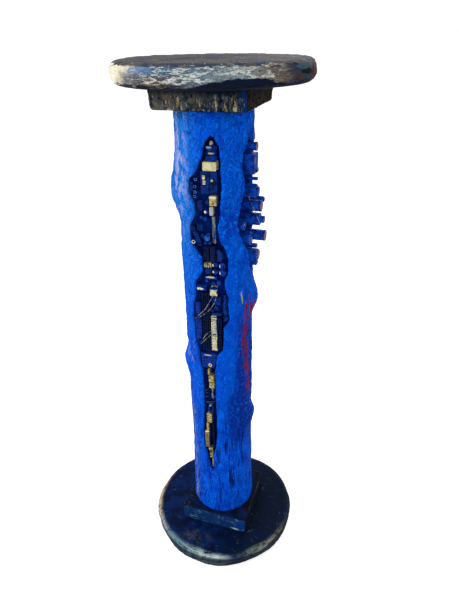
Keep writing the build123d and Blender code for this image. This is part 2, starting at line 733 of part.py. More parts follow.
small_capacitors = cans(front, SMALL_CAPACITORS, SMALL_CAN_BEVEL)
large_capacitors = cans(front, LARGE_CAPACITORS, CAN_BEVEL)

# Capacitor with a raised rim round its end
with BuildPart() as rimmed_capacitor:
    with BuildSketch(front):
        with Locations((RIMMED_CAPACITOR.across, -RIMMED_CAPACITOR.drop)):
            Circle(RIMMED_CAPACITOR.radius)
    extrude(amount=RIMMED_CAPACITOR.tall)
    with BuildSketch(front.offset(RIMMED_CAPACITOR.tall)):
        with Locations((RIMMED_CAPACITOR.across, -RIMMED_CAPACITOR.drop)):
            Circle(RIMMED_CAPACITOR.radius - CAPACITOR_RIM)
    extrude(amount=-CAPACITOR_RIM, mode=Mode.SUBTRACT)

# Four-way pin socket
with BuildPart() as pin_socket:
    with BuildSketch(front):
        with Locations((PIN_SOCKET.across, -PIN_SOCKET.drop)):
            Rectangle(PIN_SOCKET.width, PIN_SOCKET.length)
    extrude(amount=PIN_SOCKET.tall)
    with BuildSketch(front.offset(PIN_SOCKET.tall)):
        with Locations((PIN_SOCKET.across, -PIN_SOCKET.drop)):
            with GridLocations(PIN_SOCKET_PITCH, PIN_SOCKET_PITCH, 2, 2):
                Rectangle(PIN_SOCKET_HOLE, PIN_SOCKET_HOLE)
    extrude(amount=-PIN_SOCKET_HOLE_DEPTH, mode=Mode.SUBTRACT)

# Perforated header that lies slantwise across the fissure's left shoulder
with BuildPart() as diagonal_header:
    with BuildSketch(front):
        with Locations(Location((DIAGONAL_HEADER.across, -DIAGONAL_HEADER.drop), HEADER_TILT)):
            Rectangle(DIAGONAL_HEADER.width, DIAGONAL_HEADER.length)
    extrude(amount=DIAGONAL_HEADER.tall)
    with BuildSketch(front.offset(DIAGONAL_HEADER.tall)):
        with Locations(Location((DIAGONAL_HEADER.across, -DIAGONAL_HEADER.drop), HEADER_TILT)):
            with GridLocations(0, HEADER_HOLE_PITCH, 1, HEADER_HOLES):
                Rectangle(HEADER_HOLE, HEADER_HOLE)
    extrude(amount=-HEADER_HOLE_DEPTH, mode=Mode.SUBTRACT)

# Three relays: one with a seam, one with a rounded crown, one with a cut corner
with BuildPart() as relay_left:
    with BuildSketch(front):
        with Locations((RELAY_LEFT.across, -RELAY_LEFT.drop)):
            Rectangle(RELAY_LEFT.width, RELAY_LEFT.length)
    extrude(amount=RELAY_LEFT.tall)
    with BuildSketch(front.offset(RELAY_LEFT.tall)):
        with Locations((RELAY_LEFT.across, -RELAY_LEFT.drop)):
            Rectangle(RELAY_SEAM, RELAY_LEFT.length)
    extrude(amount=-RELAY_SEAM, mode=Mode.SUBTRACT)
with BuildPart() as relay_middle:
    with BuildSketch(front):
        with Locations((RELAY_MIDDLE.across, -RELAY_MIDDLE.drop)):
            Rectangle(RELAY_MIDDLE.width, RELAY_MIDDLE.length)
    extrude(amount=RELAY_MIDDLE.tall)
    crown_face = relay_middle.faces().sort_by(Axis(front.origin, front.z_dir))[-1]
    fillet(crown_face.edges().filter_by(Axis.Z), RELAY_CROWN)
with BuildPart() as relay_right:
    with BuildSketch(front):
        with Locations((RELAY_RIGHT.across, -RELAY_RIGHT.drop)):
            Rectangle(RELAY_RIGHT.width, RELAY_RIGHT.length)
    extrude(amount=RELAY_RIGHT.tall)
    uprights = relay_right.edges().filter_by(Axis(front.origin, front.z_dir))
    chamfer(uprights.sort_by(Axis.Z)[-2:].sort_by(Axis.X)[-1], RELAY_CUT_CORNER)

# Gold comb: the gaps between its teeth are cut from its outer face
with BuildPart() as gold_comb:
    with BuildSketch(front):
        with Locations((GOLD_COMB.across, -GOLD_COMB.drop)):
            Rectangle(GOLD_COMB.width, GOLD_COMB.length)
    extrude(amount=GOLD_COMB.tall)
    with BuildSketch(front.offset(GOLD_COMB.tall)):
        with Locations((GOLD_COMB.across, -GOLD_COMB.drop)):
            with GridLocations(GOLD_COMB.width / GOLD_COMB_TEETH, 0, GOLD_COMB_TEETH - 1, 1):
                Rectangle(GOLD_COMB_GAP, GOLD_COMB.length)
    extrude(amount=-GOLD_COMB_DEPTH, mode=Mode.SUBTRACT)

# Spreader bar with a rounded back
with BuildPart() as spreader_bar:
    with BuildSketch(front):
        with Locations((SPREADER_BAR.across, -SPREADER_BAR.drop)):
            Rectangle(SPREADER_BAR.width, SPREADER_BAR.length)
    extrude(amount=SPREADER_BAR.tall)
    back = spreader_bar.faces().sort_by(Axis(front.origin, front.z_dir))[-1]
    fillet(back.edges().sort_by(SortBy.LENGTH)[-2:], SPREADER_CROWN)

# Axial capacitor that lies across the fissure, with a rolled groove near its left end
axial_plane = facing(FRONT_AZIMUTH + 90, AXIAL_CAPACITOR_ACROSS - AXIAL_CAPACITOR_LENGTH / 2)
axial_seat = -(SHAFT_RADIUS - FRONT_DEPTH + AXIAL_CAPACITOR_RADIUS)
with BuildPart() as axial_capacitor:
    with BuildSketch(axial_plane):
        with Locations((axial_seat, -AXIAL_CAPACITOR_DROP)):
            Circle(AXIAL_CAPACITOR_RADIUS)
    extrude(amount=AXIAL_CAPACITOR_LENGTH)
    with BuildSketch(axial_plane.offset(CAN_COLLAR)):
        with Locations((axial_seat, -AXIAL_CAPACITOR_DROP)):
            Circle(AXIAL_CAPACITOR_RADIUS)
            Circle(AXIAL_CAPACITOR_RADIUS - CAN_GROOVE, mode=Mode.SUBTRACT)
    extrude(amount=CAN_GROOVE_WIDTH, mode=Mode.SUBTRACT)

cream_connector = ribbed_blocks(front, (CREAM_CONNECTOR,), CONNECTOR_RIBS)

# Edge connectors: as many long slots as fit side by side, between two end walls
with BuildPart() as slot_connectors:
    for spot in SLOT_CONNECTORS:
        slots = int(spot.width // SLOT_PITCH)
        with BuildSketch(front):
            with Locations((spot.across, -spot.drop)):
                Rectangle(spot.width, spot.length)
        extrude(amount=spot.tall)
        with BuildSketch(front.offset(spot.tall)):
            with Locations((spot.across, -spot.drop)):
                with GridLocations(SLOT_PITCH, 0, slots, 1):
                    Rectangle(SLOT_WIDTH, spot.length - 2 * SLOT_END_WALL)
        extrude(amount=-SLOT_DEPTH, mode=Mode.SUBTRACT)

# Tall capacitor that lies upright in the fissure, turned with a narrower neck
tall_plane = front.offset(TALL_CAPACITOR_BODY_RADIUS)
with BuildPart() as tall_capacitor:
    with BuildSketch(tall_plane):
        with Locations((TALL_CAPACITOR_ACROSS, -TALL_CAPACITOR_DROP)):
            Rectangle(TALL_CAPACITOR_NECK_RADIUS, TALL_CAPACITOR_NECK, align=(Align.MIN, Align.MAX))
        with Locations((TALL_CAPACITOR_ACROSS, -TALL_CAPACITOR_DROP - TALL_CAPACITOR_NECK)):
            Rectangle(TALL_CAPACITOR_BODY_RADIUS, TALL_CAPACITOR_BODY, align=(Align.MIN, Align.MAX))
    revolve(axis=Axis(tall_plane.from_local_coords((TALL_CAPACITOR_ACROSS, 0, 0)), (0, 0, 1)))

terminal_stacks = blocks(front, (STACK_TOP, STACK_MIDDLE))
ribbed_stack = ribbed_blocks(front, (STACK_RIBBED,), STACK_RIBS)
flat_plates = blocks(front, FLAT_PLATES, BLOCK_BEVEL)

# Thin bare wires that cross the slot connectors from the stacks to their posts
wire_posts = blocks(front, WIRE_POSTS)
wire_plane = front.offset(WIRE_HEIGHT)
connector_foot = CREAM_CONNECTOR.drop + CREAM_CONNECTOR.length / 2 + WIRE_END_GAP
stack_left = STACK_MIDDLE.across - STACK_MIDDLE.width / 2 - WIRE_END_GAP
upper_post = WIRE_POSTS[0].across + WIRE_POSTS[0].width / 2 + WIRE_END_GAP
lower_post = WIRE_POSTS[1].across + WIRE_POSTS[1].width / 2 + WIRE_END_GAP
upper_routes = (
    (
        (9.6, connector_foot),
        (7.4, connector_foot + 11.0),
        (1.2, connector_foot + 22.5),
        (-7.2, connector_foot + 33.0),
        (-17.5, connector_foot + 41.5),
        (upper_post, connector_foot + 50.4),
    ),
    (
        (3.4, connector_foot),
        (0.6, connector_foot + 7.0),
        (-3.4, connector_foot + 14.5),
        (-9.6, connector_foot + 26.5),
        (-18.8, connector_foot + 37.0),
        (upper_post, connector_foot + 47.6),
    ),
)
lower_routes = (
    (
        (stack_left, STACK_MIDDLE.drop + 6.0),
        (-5.4, STACK_MIDDLE.drop + 8.4),
        (-11.4, STACK_MIDDLE.drop + 14.8),
        (-16.0, STACK_MIDDLE.drop + 23.0),
        (lower_post, STACK_MIDDLE.drop + 31.4),
    ),
    (
        (stack_left, STACK_MIDDLE.drop + 13.0),
        (-5.8, STACK_MIDDLE.drop + 17.8),
        (-12.2, STACK_MIDDLE.drop + 24.6),
        (lower_post, STACK_MIDDLE.drop + 34.2),
    ),
)
front_wires = wires(wire_plane, upper_routes + lower_routes)

# Tapered tab plate with its pin holes
tab_plate_foot = TAB_PLATE_TOP + TAB_PLATE_LENGTH
with BuildPart() as tab_plate:
    with BuildSketch(front):
        Polygon(
            (TAB_PLATE_CORNERS_TOP[0], -TAB_PLATE_TOP),
            (TAB_PLATE_CORNERS_FOOT[0], -tab_plate_foot),
            (TAB_PLATE_CORNERS_FOOT[1], -tab_plate_foot),
            (TAB_PLATE_CORNERS_TOP[1], -TAB_PLATE_TOP),
            align=None,
        )
    extrude(amount=TAB_PLATE_TALL)
    with BuildSketch(front.offset(TAB_PLATE_TALL)):
        with Locations(*[(across, -drop) for across, drop in TAB_HOLES]):
            Circle(TAB_HOLE_RADIUS)
    extrude(amount=-TAB_HOLE_DEPTH, mode=Mode.SUBTRACT)
ring_nut = tubes(front.offset(TAB_PLATE_TALL), (RING_NUT,), RING_NUT_WALL)

# Brass pieces down the narrow foot of the fissure
brass_strips = blocks(front, BRASS_STRIPS)
with BuildPart() as brass_blocks:
    for spot in BRASS_BLOCKS:
        with BuildSketch(front):
            with Locations((spot.across, -spot.drop)):
                Rectangle(spot.width, spot.length)
        extrude(amount=spot.tall)
        with BuildSketch(front.offset(spot.tall)):
            with Locations(Location((spot.across, -spot.drop), BRASS_SLANT)):
                Rectangle(2 * spot.width, BRASS_SPLIT)
        extrude(amount=-BRASS_SPLIT_DEPTH, mode=Mode.SUBTRACT)

# Twisted lead soldered to the lower brass block
twist_top = BRASS_BLOCKS[-1].drop + BRASS_BLOCKS[-1].length / 2
twist_middle = front.from_local_coords((BRASS_BLOCKS[-1].across, 0, TWIST_HEIGHT))
with BuildPart() as lead_twist:
    for section in range(TWIST_SECTIONS):
        share = section / (TWIST_SECTIONS - 1)
        level = SHAFT_TOP - twist_top - TWIST_LENGTH * (1 - share)
        turned = Plane(
            origin=(twist_middle.X, twist_middle.Y, level),
            x_dir=(*around(FRONT_AZIMUTH + 90 + TWIST_TURN * share, 1.0), 0),
            z_dir=(0, 0, 1),
        )
        with BuildSketch(turned):
            Rectangle(TWIST_WIDTH, TWIST_THICKNESS)
    loft()

# Stiff leads bent over like staples, with both feet on the floor
with BuildPart() as lead_arches:
    for arch in LEAD_ARCHES:
        foot = front.from_local_coords((arch.across, -arch.drop, 0))
        level = front.x_dir * cos(radians(arch.tilt)) + front.y_dir * sin(radians(arch.tilt))
        upright = Plane(origin=foot, x_dir=level, z_dir=level.cross(front.z_dir))
        half = arch.span / 2
        with BuildLine(upright) as path:
            FilletPolyline(
                (-half, 0), (-half, arch.tall), (half, arch.tall), (half, 0), radius=LEAD_BEND
            )
        with BuildSketch(Plane(origin=path.line @ 0, z_dir=path.line % 0)):
            Circle(LEAD_RADIUS)
        sweep(path=path.line)

# Oval ferrite ring
with BuildPart() as oval_ferrite:
    with BuildSketch(front):
        with Locations((OVAL_FERRITE.across, -OVAL_FERRITE.drop)):
            SlotOverall(OVAL_FERRITE.length, OVAL_FERRITE.width, rotation=90)
            SlotOverall(
                OVAL_FERRITE.length - 2 * OVAL_FERRITE_WALL,
                OVAL_FERRITE.width - 2 * OVAL_FERRITE_WALL,
                rotation=90,
                mode=Mode.SUBTRACT,
            )
    extrude(amount=OVAL_FERRITE.tall)

with BuildPart() as slanted_tabs:
    for order in range(SLANTED_TABS):
        tab_drop = SLANTED_TAB.drop + order * SLANTED_TAB_PITCH
        with BuildSketch(front):
            with Locations(Location((SLANTED_TAB.across, -tab_drop), SLANTED_TAB_TILT)):
                Rectangle(SLANTED_TAB.width, SLANTED_TAB.length)
        extrude(amount=SLANTED_TAB.tall)

# Brass bar with its upper end bevelled to a bright face
with BuildPart() as brass_bar:
    with BuildSketch(front):
        with Locations((BRASS_BAR.across, -BRASS_BAR.drop)):
            Rectangle(BRASS_BAR.width, BRASS_BAR.length)
    extrude(amount=BRASS_BAR.tall)
    bar_face = brass_bar.faces().sort_by(Axis(front.origin, front.z_dir))[-1]
    chamfer(bar_face.edges().sort_by(Axis.Z)[-1], BRASS_BAR_BEVEL)

# Open channel: a floor between two walls
with BuildPart() as dark_channel:
    with BuildSketch(front):
        with Locations((DARK_CHANNEL.across, -DARK_CHANNEL.drop)):
            Rectangle(DARK_CHANNEL.width, DARK_CHANNEL.length)
    extrude(amount=DARK_CHANNEL.tall)
    with BuildSketch(front.offset(CHANNEL_WALL)):
        with Locations((DARK_CHANNEL.across, -DARK_CHANNEL.drop)):
            Rectangle(DARK_CHANNEL.width - 2 * CHANNEL_WALL, DARK_CHANNEL.length)
    extrude(amount=DARK_CHANNEL.tall, mode=Mode.SUBTRACT)

tail_tabs = blocks(front, TAIL_TABS, BLOCK_BEVEL)

# Side fissure
side_top_block = blocks(side, (SIDE_TOP_BLOCK,), BLOCK_BEVEL)
side_capacitors = collared_cans(side, SIDE_CAPACITORS)
with BuildPart() as ribbed_transformer:
    with BuildSketch(side):
        with Locations((RIBBED_TRANSFORMER.across, -RIBBED_TRANSFORMER.drop)):
            Rectangle(RIBBED_TRANSFORMER.width, RIBBED_TRANSFORMER.length)
    extrude(amount=RIBBED_TRANSFORMER.tall)
    with BuildSketch(side.offset(RIBBED_TRANSFORMER.tall)):
        with Locations((RIBBED_TRANSFORMER.across, -RIBBED_TRANSFORMER.drop)):
            with GridLocations(
                RIBBED_TRANSFORMER.width / TRANSFORMER_RIBS, 0, TRANSFORMER_RIBS - 1, 1
            ):
                Rectangle(TRANSFORMER_GAP, RIBBED_TRANSFORMER.length)
    extrude(amount=-TRANSFORMER_GAP_DEPTH, mode=Mode.SUBTRACT)
    with BuildSketch(side.offset(RIBBED_TRANSFORMER.tall - TRANSFORMER_GAP_DEPTH)):
        with Locations((TRANSFORMER_BUMP.across, -TRANSFORMER_BUMP.drop)):
            Rectangle(TRANSFORMER_BUMP.width, TRANSFORMER_BUMP.length)
    extrude(amount=TRANSFORMER_BUMP.tall - RIBBED_TRANSFORMER.tall + TRANSFORMER_GAP_DEPTH)
side_pin = cans(side, (SIDE_PIN,), SMALL_CAN_BEVEL)

# Hexagonal cap with a round crown
with BuildPart() as hex_cap:
    with BuildSketch(side):
        with Locations((HEX_CAP.across, -HEX_CAP.drop)):
            RegularPolygon(HEX_CAP.radius, 6, rotation=90)
    extrude(amount=HEX_CAP.tall)
    with BuildSketch(side.offset(HEX_CAP.tall)):
        with Locations((HEX_CAP.across, -HEX_CAP.drop)):
            Circle(HEX_CAP_CROWN_RADIUS)
    extrude(amount=HEX_CAP_CROWN)

# Slim can with a domed end
with BuildPart() as domed_can:
    with BuildSketch(side):
        with Locations((DOMED_CAN.across, -DOMED_CAN.drop)):
            Circle(DOMED_CAN.radius)
    extrude(amount=DOMED_CAN.tall)
    fillet(domed_can.faces().sort_by(Axis.X)[-1].edges(), DOME_ROUND)

# Coaxial plug: a stout body and a neck
with BuildPart() as coax_plug:
    with BuildSketch(side):
        with Locations((COAX_BODY.across, -COAX_BODY.drop)):
            Circle(COAX_BODY.radius)
    extrude(amount=COAX_BODY.tall)
    with BuildSketch(side.offset(COAX_BODY.tall)):
        with Locations((COAX_BODY.across, -COAX_BODY.drop)):
            Circle(COAX_NECK_RADIUS)
    extrude(amount=COAX_NECK)

# Pot core with a recessed face round its middle spot
with BuildPart() as pot_core:
    with BuildSketch(side):
        with Locations((POT_CORE.across, -POT_CORE.drop)):
            Circle(POT_CORE.radius)
    extrude(amount=POT_CORE.tall)
    with BuildSketch(side.offset(POT_CORE.tall)):
        with Locations((POT_CORE.across, -POT_CORE.drop)):
            Circle(POT_CORE.radius - 2 * POT_CORE_RECESS)
            Circle(POT_CORE_SPOT_RADIUS, mode=Mode.SUBTRACT)
    extrude(amount=-POT_CORE_RECESS, mode=Mode.SUBTRACT)

# Stout can with a brown spot raised on its end
with BuildPart() as spot_can:
    with BuildSketch(side):
        with Locations((SPOT_CAN.across, -SPOT_CAN.drop)):
            Circle(SPOT_CAN.radius)
    extrude(amount=SPOT_CAN.tall)
    chamfer(spot_can.faces().sort_by(Axis.X)[-1].edges(), CAN_BEVEL)
    with BuildSketch(side.offset(SPOT_CAN.tall)):
        with Locations((SPOT_CAN.across, -SPOT_CAN.drop)):
            Circle(SPOT_CAN_SPOT_RADIUS)
    extrude(amount=SPOT_CAN_SPOT)

gold_lug = blocks(side, (GOLD_LUG,), BLOCK_BEVEL)
with BuildPart() as stacked_plates:
    for order in range(STACKED_PLATES):
        with BuildSketch(side):
            with Locations((STACKED_PLATE.across + order * STACKED_PLATE_PITCH, -STACKED_PLATE.drop)):
                Rectangle(STACKED_PLATE.width, STACKED_PLATE.length)
        extrude(amount=STACKED_PLATE.tall)

# Loose bare wire down the front of the side parts, clear of the widest can
wire_clear = min(
    *[can.across - can.radius for can in (*SIDE_CAPACITORS, COAX_BODY)],
    HEX_CAP.across - HEX_CAP.radius * cos(pi / 6),
)
wire_side = wire_clear - SIDE_WIRE_GAP - WIRE_RADIUS
wire_head = side.from_local_coords((wire_side, -SIDE_WIRE_HEAD[1], SIDE_WIRE_HEAD[0]))
wire_foot = side.from_local_coords((wire_side, -SIDE_WIRE_FOOT[1], SIDE_WIRE_FOOT[0]))
with BuildPart() as side_wire:
    with BuildSketch(Plane(origin=wire_head, z_dir=wire_foot - wire_head)):
        Circle(WIRE_RADIUS)
    extrude(amount=(wire_foot - wire_head).length)

pieces = {
    "base_disc": base_disc,
    "base_plinth": base_plinth,
    "shaft": shaft.part,
    "capital_plate": capital_plate,
    "top_slab": top_slab,
    "jack_plug": jack_plug.part,
    "crystal_can": crystal_can.part,
    "upper_module": upper_module.part,
    "module_chips": module_chips,
    "test_pin": test_pin.part,
    "eyelets": eyelets,
    "moulded_blocks": moulded_blocks,
    "gold_terminal": gold_terminal,
    "cream_lever": cream_lever.part,
    "braid_strap": braid_strap.part,
    "small_capacitors": small_capacitors,
    "large_capacitors": large_capacitors,
    "rimmed_capacitor": rimmed_capacitor.part,
    "pin_socket": pin_socket.part,
    "diagonal_header": diagonal_header.part,
    "relay_left": relay_left.part,
    "relay_middle": relay_middle.part,
    "relay_right": relay_right.part,
    "gold_comb": gold_comb.part,
    "spreader_bar": spreader_bar.part,
    "axial_capacitor": axial_capacitor.part,
    "cream_connector": cream_connector,
    "slot_connectors": slot_connectors.part,
    "tall_capacitor": tall_capacitor.part,
    "terminal_stacks": terminal_stacks,
    "ribbed_stack": ribbed_stack,
    "flat_plates": flat_plates,
    "wire_posts": wire_posts,
    "front_wires": front_wires,
    "tab_plate": tab_plate.part,
    "ring_nut": ring_nut,
    "brass_strips": brass_strips,
    "brass_blocks": brass_blocks.part,
    "lead_twist": lead_twist.part,
    "lead_arches": lead_arches.part,
    "oval_ferrite": oval_ferrite.part,
    "slanted_tabs": slanted_tabs.part,
    "brass_bar": brass_bar.part,
    "dark_channel": dark_channel.part,
    "tail_tabs": tail_tabs,
    "side_top_block": side_top_block,
    "side_capacitors": side_capacitors,
    "ribbed_transformer": ribbed_transformer.part,
    "side_pin": side_pin,
    "hex_cap": hex_cap.part,
    "domed_can": domed_can.part,
    "coax_plug": coax_plug.part,
    "pot_core": pot_core.part,
    "spot_can": spot_can.part,
    "gold_lug": gold_lug,
    "stacked_plates": stacked_plates.part,
    "side_wire": side_wire.part,
}

os.makedirs("parts", exist_ok=True)
for name, piece in pieces.items():
    piece.label = name
    export_step(piece, f"parts/{name}.step")
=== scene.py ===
import logging
import math
from collections.abc import Sequence
from dataclasses import dataclass, replace
from enum import Enum
from typing import NamedTuple

import bpy
from mathutils import Matrix, Vector, noise


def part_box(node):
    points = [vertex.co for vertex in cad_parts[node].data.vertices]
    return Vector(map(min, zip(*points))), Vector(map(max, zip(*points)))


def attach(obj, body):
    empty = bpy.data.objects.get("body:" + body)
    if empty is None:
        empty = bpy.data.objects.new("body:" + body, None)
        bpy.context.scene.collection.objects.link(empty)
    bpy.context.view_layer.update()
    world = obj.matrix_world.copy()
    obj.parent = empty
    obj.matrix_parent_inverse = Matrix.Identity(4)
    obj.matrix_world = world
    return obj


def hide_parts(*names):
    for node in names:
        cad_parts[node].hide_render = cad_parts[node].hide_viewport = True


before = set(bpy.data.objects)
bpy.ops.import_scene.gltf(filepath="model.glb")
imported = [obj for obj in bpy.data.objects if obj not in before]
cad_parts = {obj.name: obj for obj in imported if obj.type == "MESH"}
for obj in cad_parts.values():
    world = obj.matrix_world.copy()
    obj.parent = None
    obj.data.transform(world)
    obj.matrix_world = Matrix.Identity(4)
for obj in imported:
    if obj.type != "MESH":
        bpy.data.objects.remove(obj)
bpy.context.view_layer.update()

LOG = logging.getLogger("column")
MILLIMETRE = 0.001
RIM_RADIUS = 150.0
NOISE_MIDDLE = 0.5
STROKE_ROUGHNESS = 0.62
CHART_GAMMA = 0.4545
MERGE_DISTANCE = 0.02 * MILLIMETRE
SMOOTH_SHARE = 0.5
FLAT_ANGLE = math.radians(1.0)
BEVEL_ANGLE = math.radians(32.0)
SMOOTH_ANGLE = math.radians(34.0)
FLOOR_HEIGHT = -0.5 * MILLIMETRE
WHITE = (1.0, 1.0, 1.0, 1.0)
BODY = "root"


class Colour(NamedTuple):
    """A colour as a paint chart gives it, each part from 0 to 255."""

    red: float
    green: float
    blue: float

    def linear(self) -> tuple[float, float, float, float]:
        """The colour as light, with its opacity."""
        shares = [part / 255 for part in self]
        light = [s / 12.92 if s <= 0.04045 else ((s + 0.055) / 1.055) ** 2.4 for s in shares]
        return (light[0], light[1], light[2], 1.0)


class Slot(Enum):
    """The record's material slots."""

    BLUE_PLASTER = "blue_plaster"
    NAVY_PLASTER = "navy_plaster"
    BLUE_PLASTIC = "blue_plastic"
    DARK_PLASTIC = "dark_plastic"
    CREAM_PLASTIC = "cream_plastic"
    WORN_GOLD = "worn_gold"
    BARE_WIRE = "bare_wire"


class Signal:
    """The output of a shader node, a number or a colour, which can be reckoned with.

    Args:
        bench: The bench that it belongs to.
        socket: The output.
    """

    def __init__(self, bench: "NodeBench", socket: bpy.types.NodeSocket) -> None:
        self.bench = bench
        self.socket = socket

    def __add__(self, other: "Signal | float") -> "Signal":
        return self.bench.math("ADD", self, other)

    def __sub__(self, other: "Signal | float") -> "Signal":
        return self.bench.math("SUBTRACT", self, other)

    def __mul__(self, other: "Signal | float") -> "Signal":
        return self.bench.math("MULTIPLY", self, other)

    def __truediv__(self, other: "Signal | float") -> "Signal":
        return self.bench.math("DIVIDE", self, other)

    def __pow__(self, other: "Signal | float") -> "Signal":
        return self.bench.math("POWER", self, other)

    def __abs__(self) -> "Signal":
        return self.bench.math("ABSOLUTE", self)

    def most(self, other: "Signal | float") -> "Signal":
        """The larger of the two."""
        return self.bench.math("MAXIMUM", self, other)

    def sine(self) -> "Signal":
        """Its sine, taken as an angle in radians."""
        return self.bench.math("SINE", self)

    def step(self, low: float, high: float) -> "Signal":
        """A smooth step: 0 below low and 1 above high, or turned round if low is the larger."""
        rising = low < high
        inputs = {
            "Value": self,
            "From Min": min(low, high),
            "From Max": max(low, high),
            "To Min": 0.0 if rising else 1.0,
            "To Max": 1.0 if rising else 0.0,
        }
        return self.bench.node("MapRange", inputs, interpolation_type="SMOOTHSTEP")

    def near(self, middle: float, reach: float) -> "Signal":
        """1 at a middle value, falling smoothly to 0 at a reach from it."""
        return abs(self - middle).step(reach, 0.0)

    def sway(self, reach: float) -> "Signal":
        """Noise taken as an offset to both sides of nothing."""
        return (self - NOISE_MIDDLE) * reach

    def crease(self, width: float) -> "Signal":
        """1 along the thin lines where noise crosses its middle, and 0 beside them."""
        return abs(self - NOISE_MIDDLE).step(width, width / 4)


class NodeBench:
    """Short names for the shader nodes that the finishes are made of.

    Args:
        name: Name of the material.
    """

    def __init__(self, name: str) -> None:
        self.material = bpy.data.materials.new(name)
        self.material.use_nodes = True
        self.nodes = self.material.node_tree.nodes
        self.links = self.material.node_tree.links
        self.nodes.clear()
        self.shader = self.nodes.new("ShaderNodeBsdfPrincipled")
        output = self.nodes.new("ShaderNodeOutputMaterial")
        self.links.new(self.shader.outputs[0], output.inputs["Surface"])
        coordinates = self.nodes.new("ShaderNodeTexCoord")
        self.place = Signal(self, coordinates.outputs["Object"])
        self.normal = Signal(self, coordinates.outputs["Normal"])
        self.x, self.y, self.z = self.parts(self.place)

    def feed(self, socket: bpy.types.NodeSocket, value: object) -> None:
        """Links a socket to a signal, or sets its value.

        Args:
            socket: The input.
            value: A signal, a Colour, a number or a row of numbers.
        """
        if isinstance(value, Signal):
            self.links.new(value.socket, socket)
        elif isinstance(value, Colour):
            socket.default_value = value.linear()
        else:
            socket.default_value = value

    def node(
        self, kind: str, inputs: dict[str | int, object], output: str | int = 0, **settings: str
    ) -> Signal:
        """A new shader node.

        Args:
            kind: Blender's name of its kind, without the ShaderNode in front.
            inputs: What its inputs take, by their names or places.
            output: Name or place of the output that is wanted.
            settings: The node's own settings.

        Returns:
            The output.
        """
        node = self.nodes.new(f"ShaderNode{kind}")
        for name, value in settings.items():
            setattr(node, name, value)
        for name, value in inputs.items():
            self.feed(node.inputs[name], value)
        return Signal(self, node.outputs[output])

    def math(self, operation: str, *values: object) -> Signal:
        """A Math node, by Blender's name of the operation and its inputs."""
        return self.node("Math", dict(enumerate(values)), operation=operation)

    def parts(self, vector: Signal) -> list[Signal]:
        """A vector's parts along x, y and z."""
        split = self.nodes.new("ShaderNodeSeparateXYZ")
        self.feed(split.inputs[0], vector)
        return [Signal(self, output) for output in split.outputs]

    def length(self, vector: Signal) -> Signal:
        """How long a vector is."""
        return self.node("VectorMath", {0: vector}, "Value", operation="LENGTH")

    def blotches(
        self,
        size: tuple[float, float, float],
        detail: float = 4.0,
        roughness: float = 0.55,
        shift: float = 0.0,
        distortion: float = 0.0,
    ) -> Signal:
        """Noise whose blotches have a size in millimetres along x, y and z.

        Args:
            size: The blotches' size.
            detail: How many finer layers it has.
            roughness: How strong those are.
            shift: Moves the pattern, so that two of the same size differ.
            distortion: How far it is stirred.

        Returns:
            The noise, from 0 to 1.
        """
        scale = [1 / (part * MILLIMETRE) for part in size]
        place = self.node("Mapping", {"Vector": self.place, "Scale": scale, "Location": (shift,) * 3})
        inputs = {
            "Vector": place,
            "Scale": 1.0,
            "Detail": detail,
            "Roughness": roughness,
            "Distortion": distortion,
        }
        return self.node("TexNoise", inputs, "Fac")

    def mix(self, share: Signal, under: Signal | Colour, over: Signal | Colour) -> Signal:
        """Lays one colour over another.

        Args:
            share: How much of the upper colour shows.
            under: The lower colour.
            over: The upper colour.

        Returns:
            The mixed colour.
        """
        return self.node("Mix", {0: share, 6: under, 7: over}, 2, data_type="RGBA")

    def attribute(self, name: str) -> Signal:
        """A number that the mesh carries at each of its points."""
        return self.node("Attribute", {}, "Fac", attribute_name=name)

    @property
    def azimuth(self) -> Signal:
        """Degrees round the column, from the front towards the right."""
        return self.math("ARCTAN2", self.x, self.y * -1.0) * math.degrees(1)

    @property
    def level(self) -> Signal:
        """Millimetres above the floor."""
        return self.z / MILLIMETRE

    def level_place(self) -> Signal:
        """The place as seen from above, as a vector."""
        return self.node("CombineXYZ", {"X": self.x, "Y": self.y})

    @property
    def from_axis(self) -> Signal:
        """Millimetres from the column's axis."""
        return self.length(self.level_place()) / MILLIMETRE

    def strokes(
        self, around: float, upright: float, outward: float, detail: float = 4.0, shift: float = 0.0
    ) -> Signal:
        """Noise whose strokes run round the column, as a brush does along a round rim.

        Args:
            around: The strokes' length, in millimetres at the rims.
            upright: Their height.
            outward: Their depth towards the axis.
            detail: How many finer layers it has.
            shift: Moves the pattern.

        Returns:
            The noise, from 0 to 1.
        """
        x, y, _ = self.parts(self.node("VectorMath", {0: self.level_place()}, operation="NORMALIZE"))
        turn = RIM_RADIUS / around
        place = self.node("CombineXYZ", {"X": x * turn, "Y": y * turn, "Z": self.level / upright})
        inputs = {
            "Vector": place,
            "W": self.from_axis / outward + shift,
            "Scale": 1.0,
            "Detail": detail,
            "Roughness": STROKE_ROUGHNESS,
        }
        return self.node("TexNoise", inputs, "Fac", noise_dimensions="4D")

    def facing(self, axis: str) -> Signal:
        """How far the surface faces along an axis, from -1 to 1."""
        return self.parts(self.normal)["XYZ".index(axis)]

    def spot(self, middle: Vector, reach: tuple[float, float, float]) -> Signal:
        """1 in the middle of a soft round spot, and 0 from its edge outwards.

        Args:
            middle: Its middle, in metres.
            reach: How far it reaches along x, y and z, in millimetres.

        Returns:
            The share.
        """
        scale = [1 / (part * MILLIMETRE) for part in reach]
        shift = [-part * long for part, long in zip(middle, scale)]
        away = self.node("Mapping", {"Vector": self.place, "Scale": scale, "Location": shift})
        return self.length(away).step(1.0, 0.0)

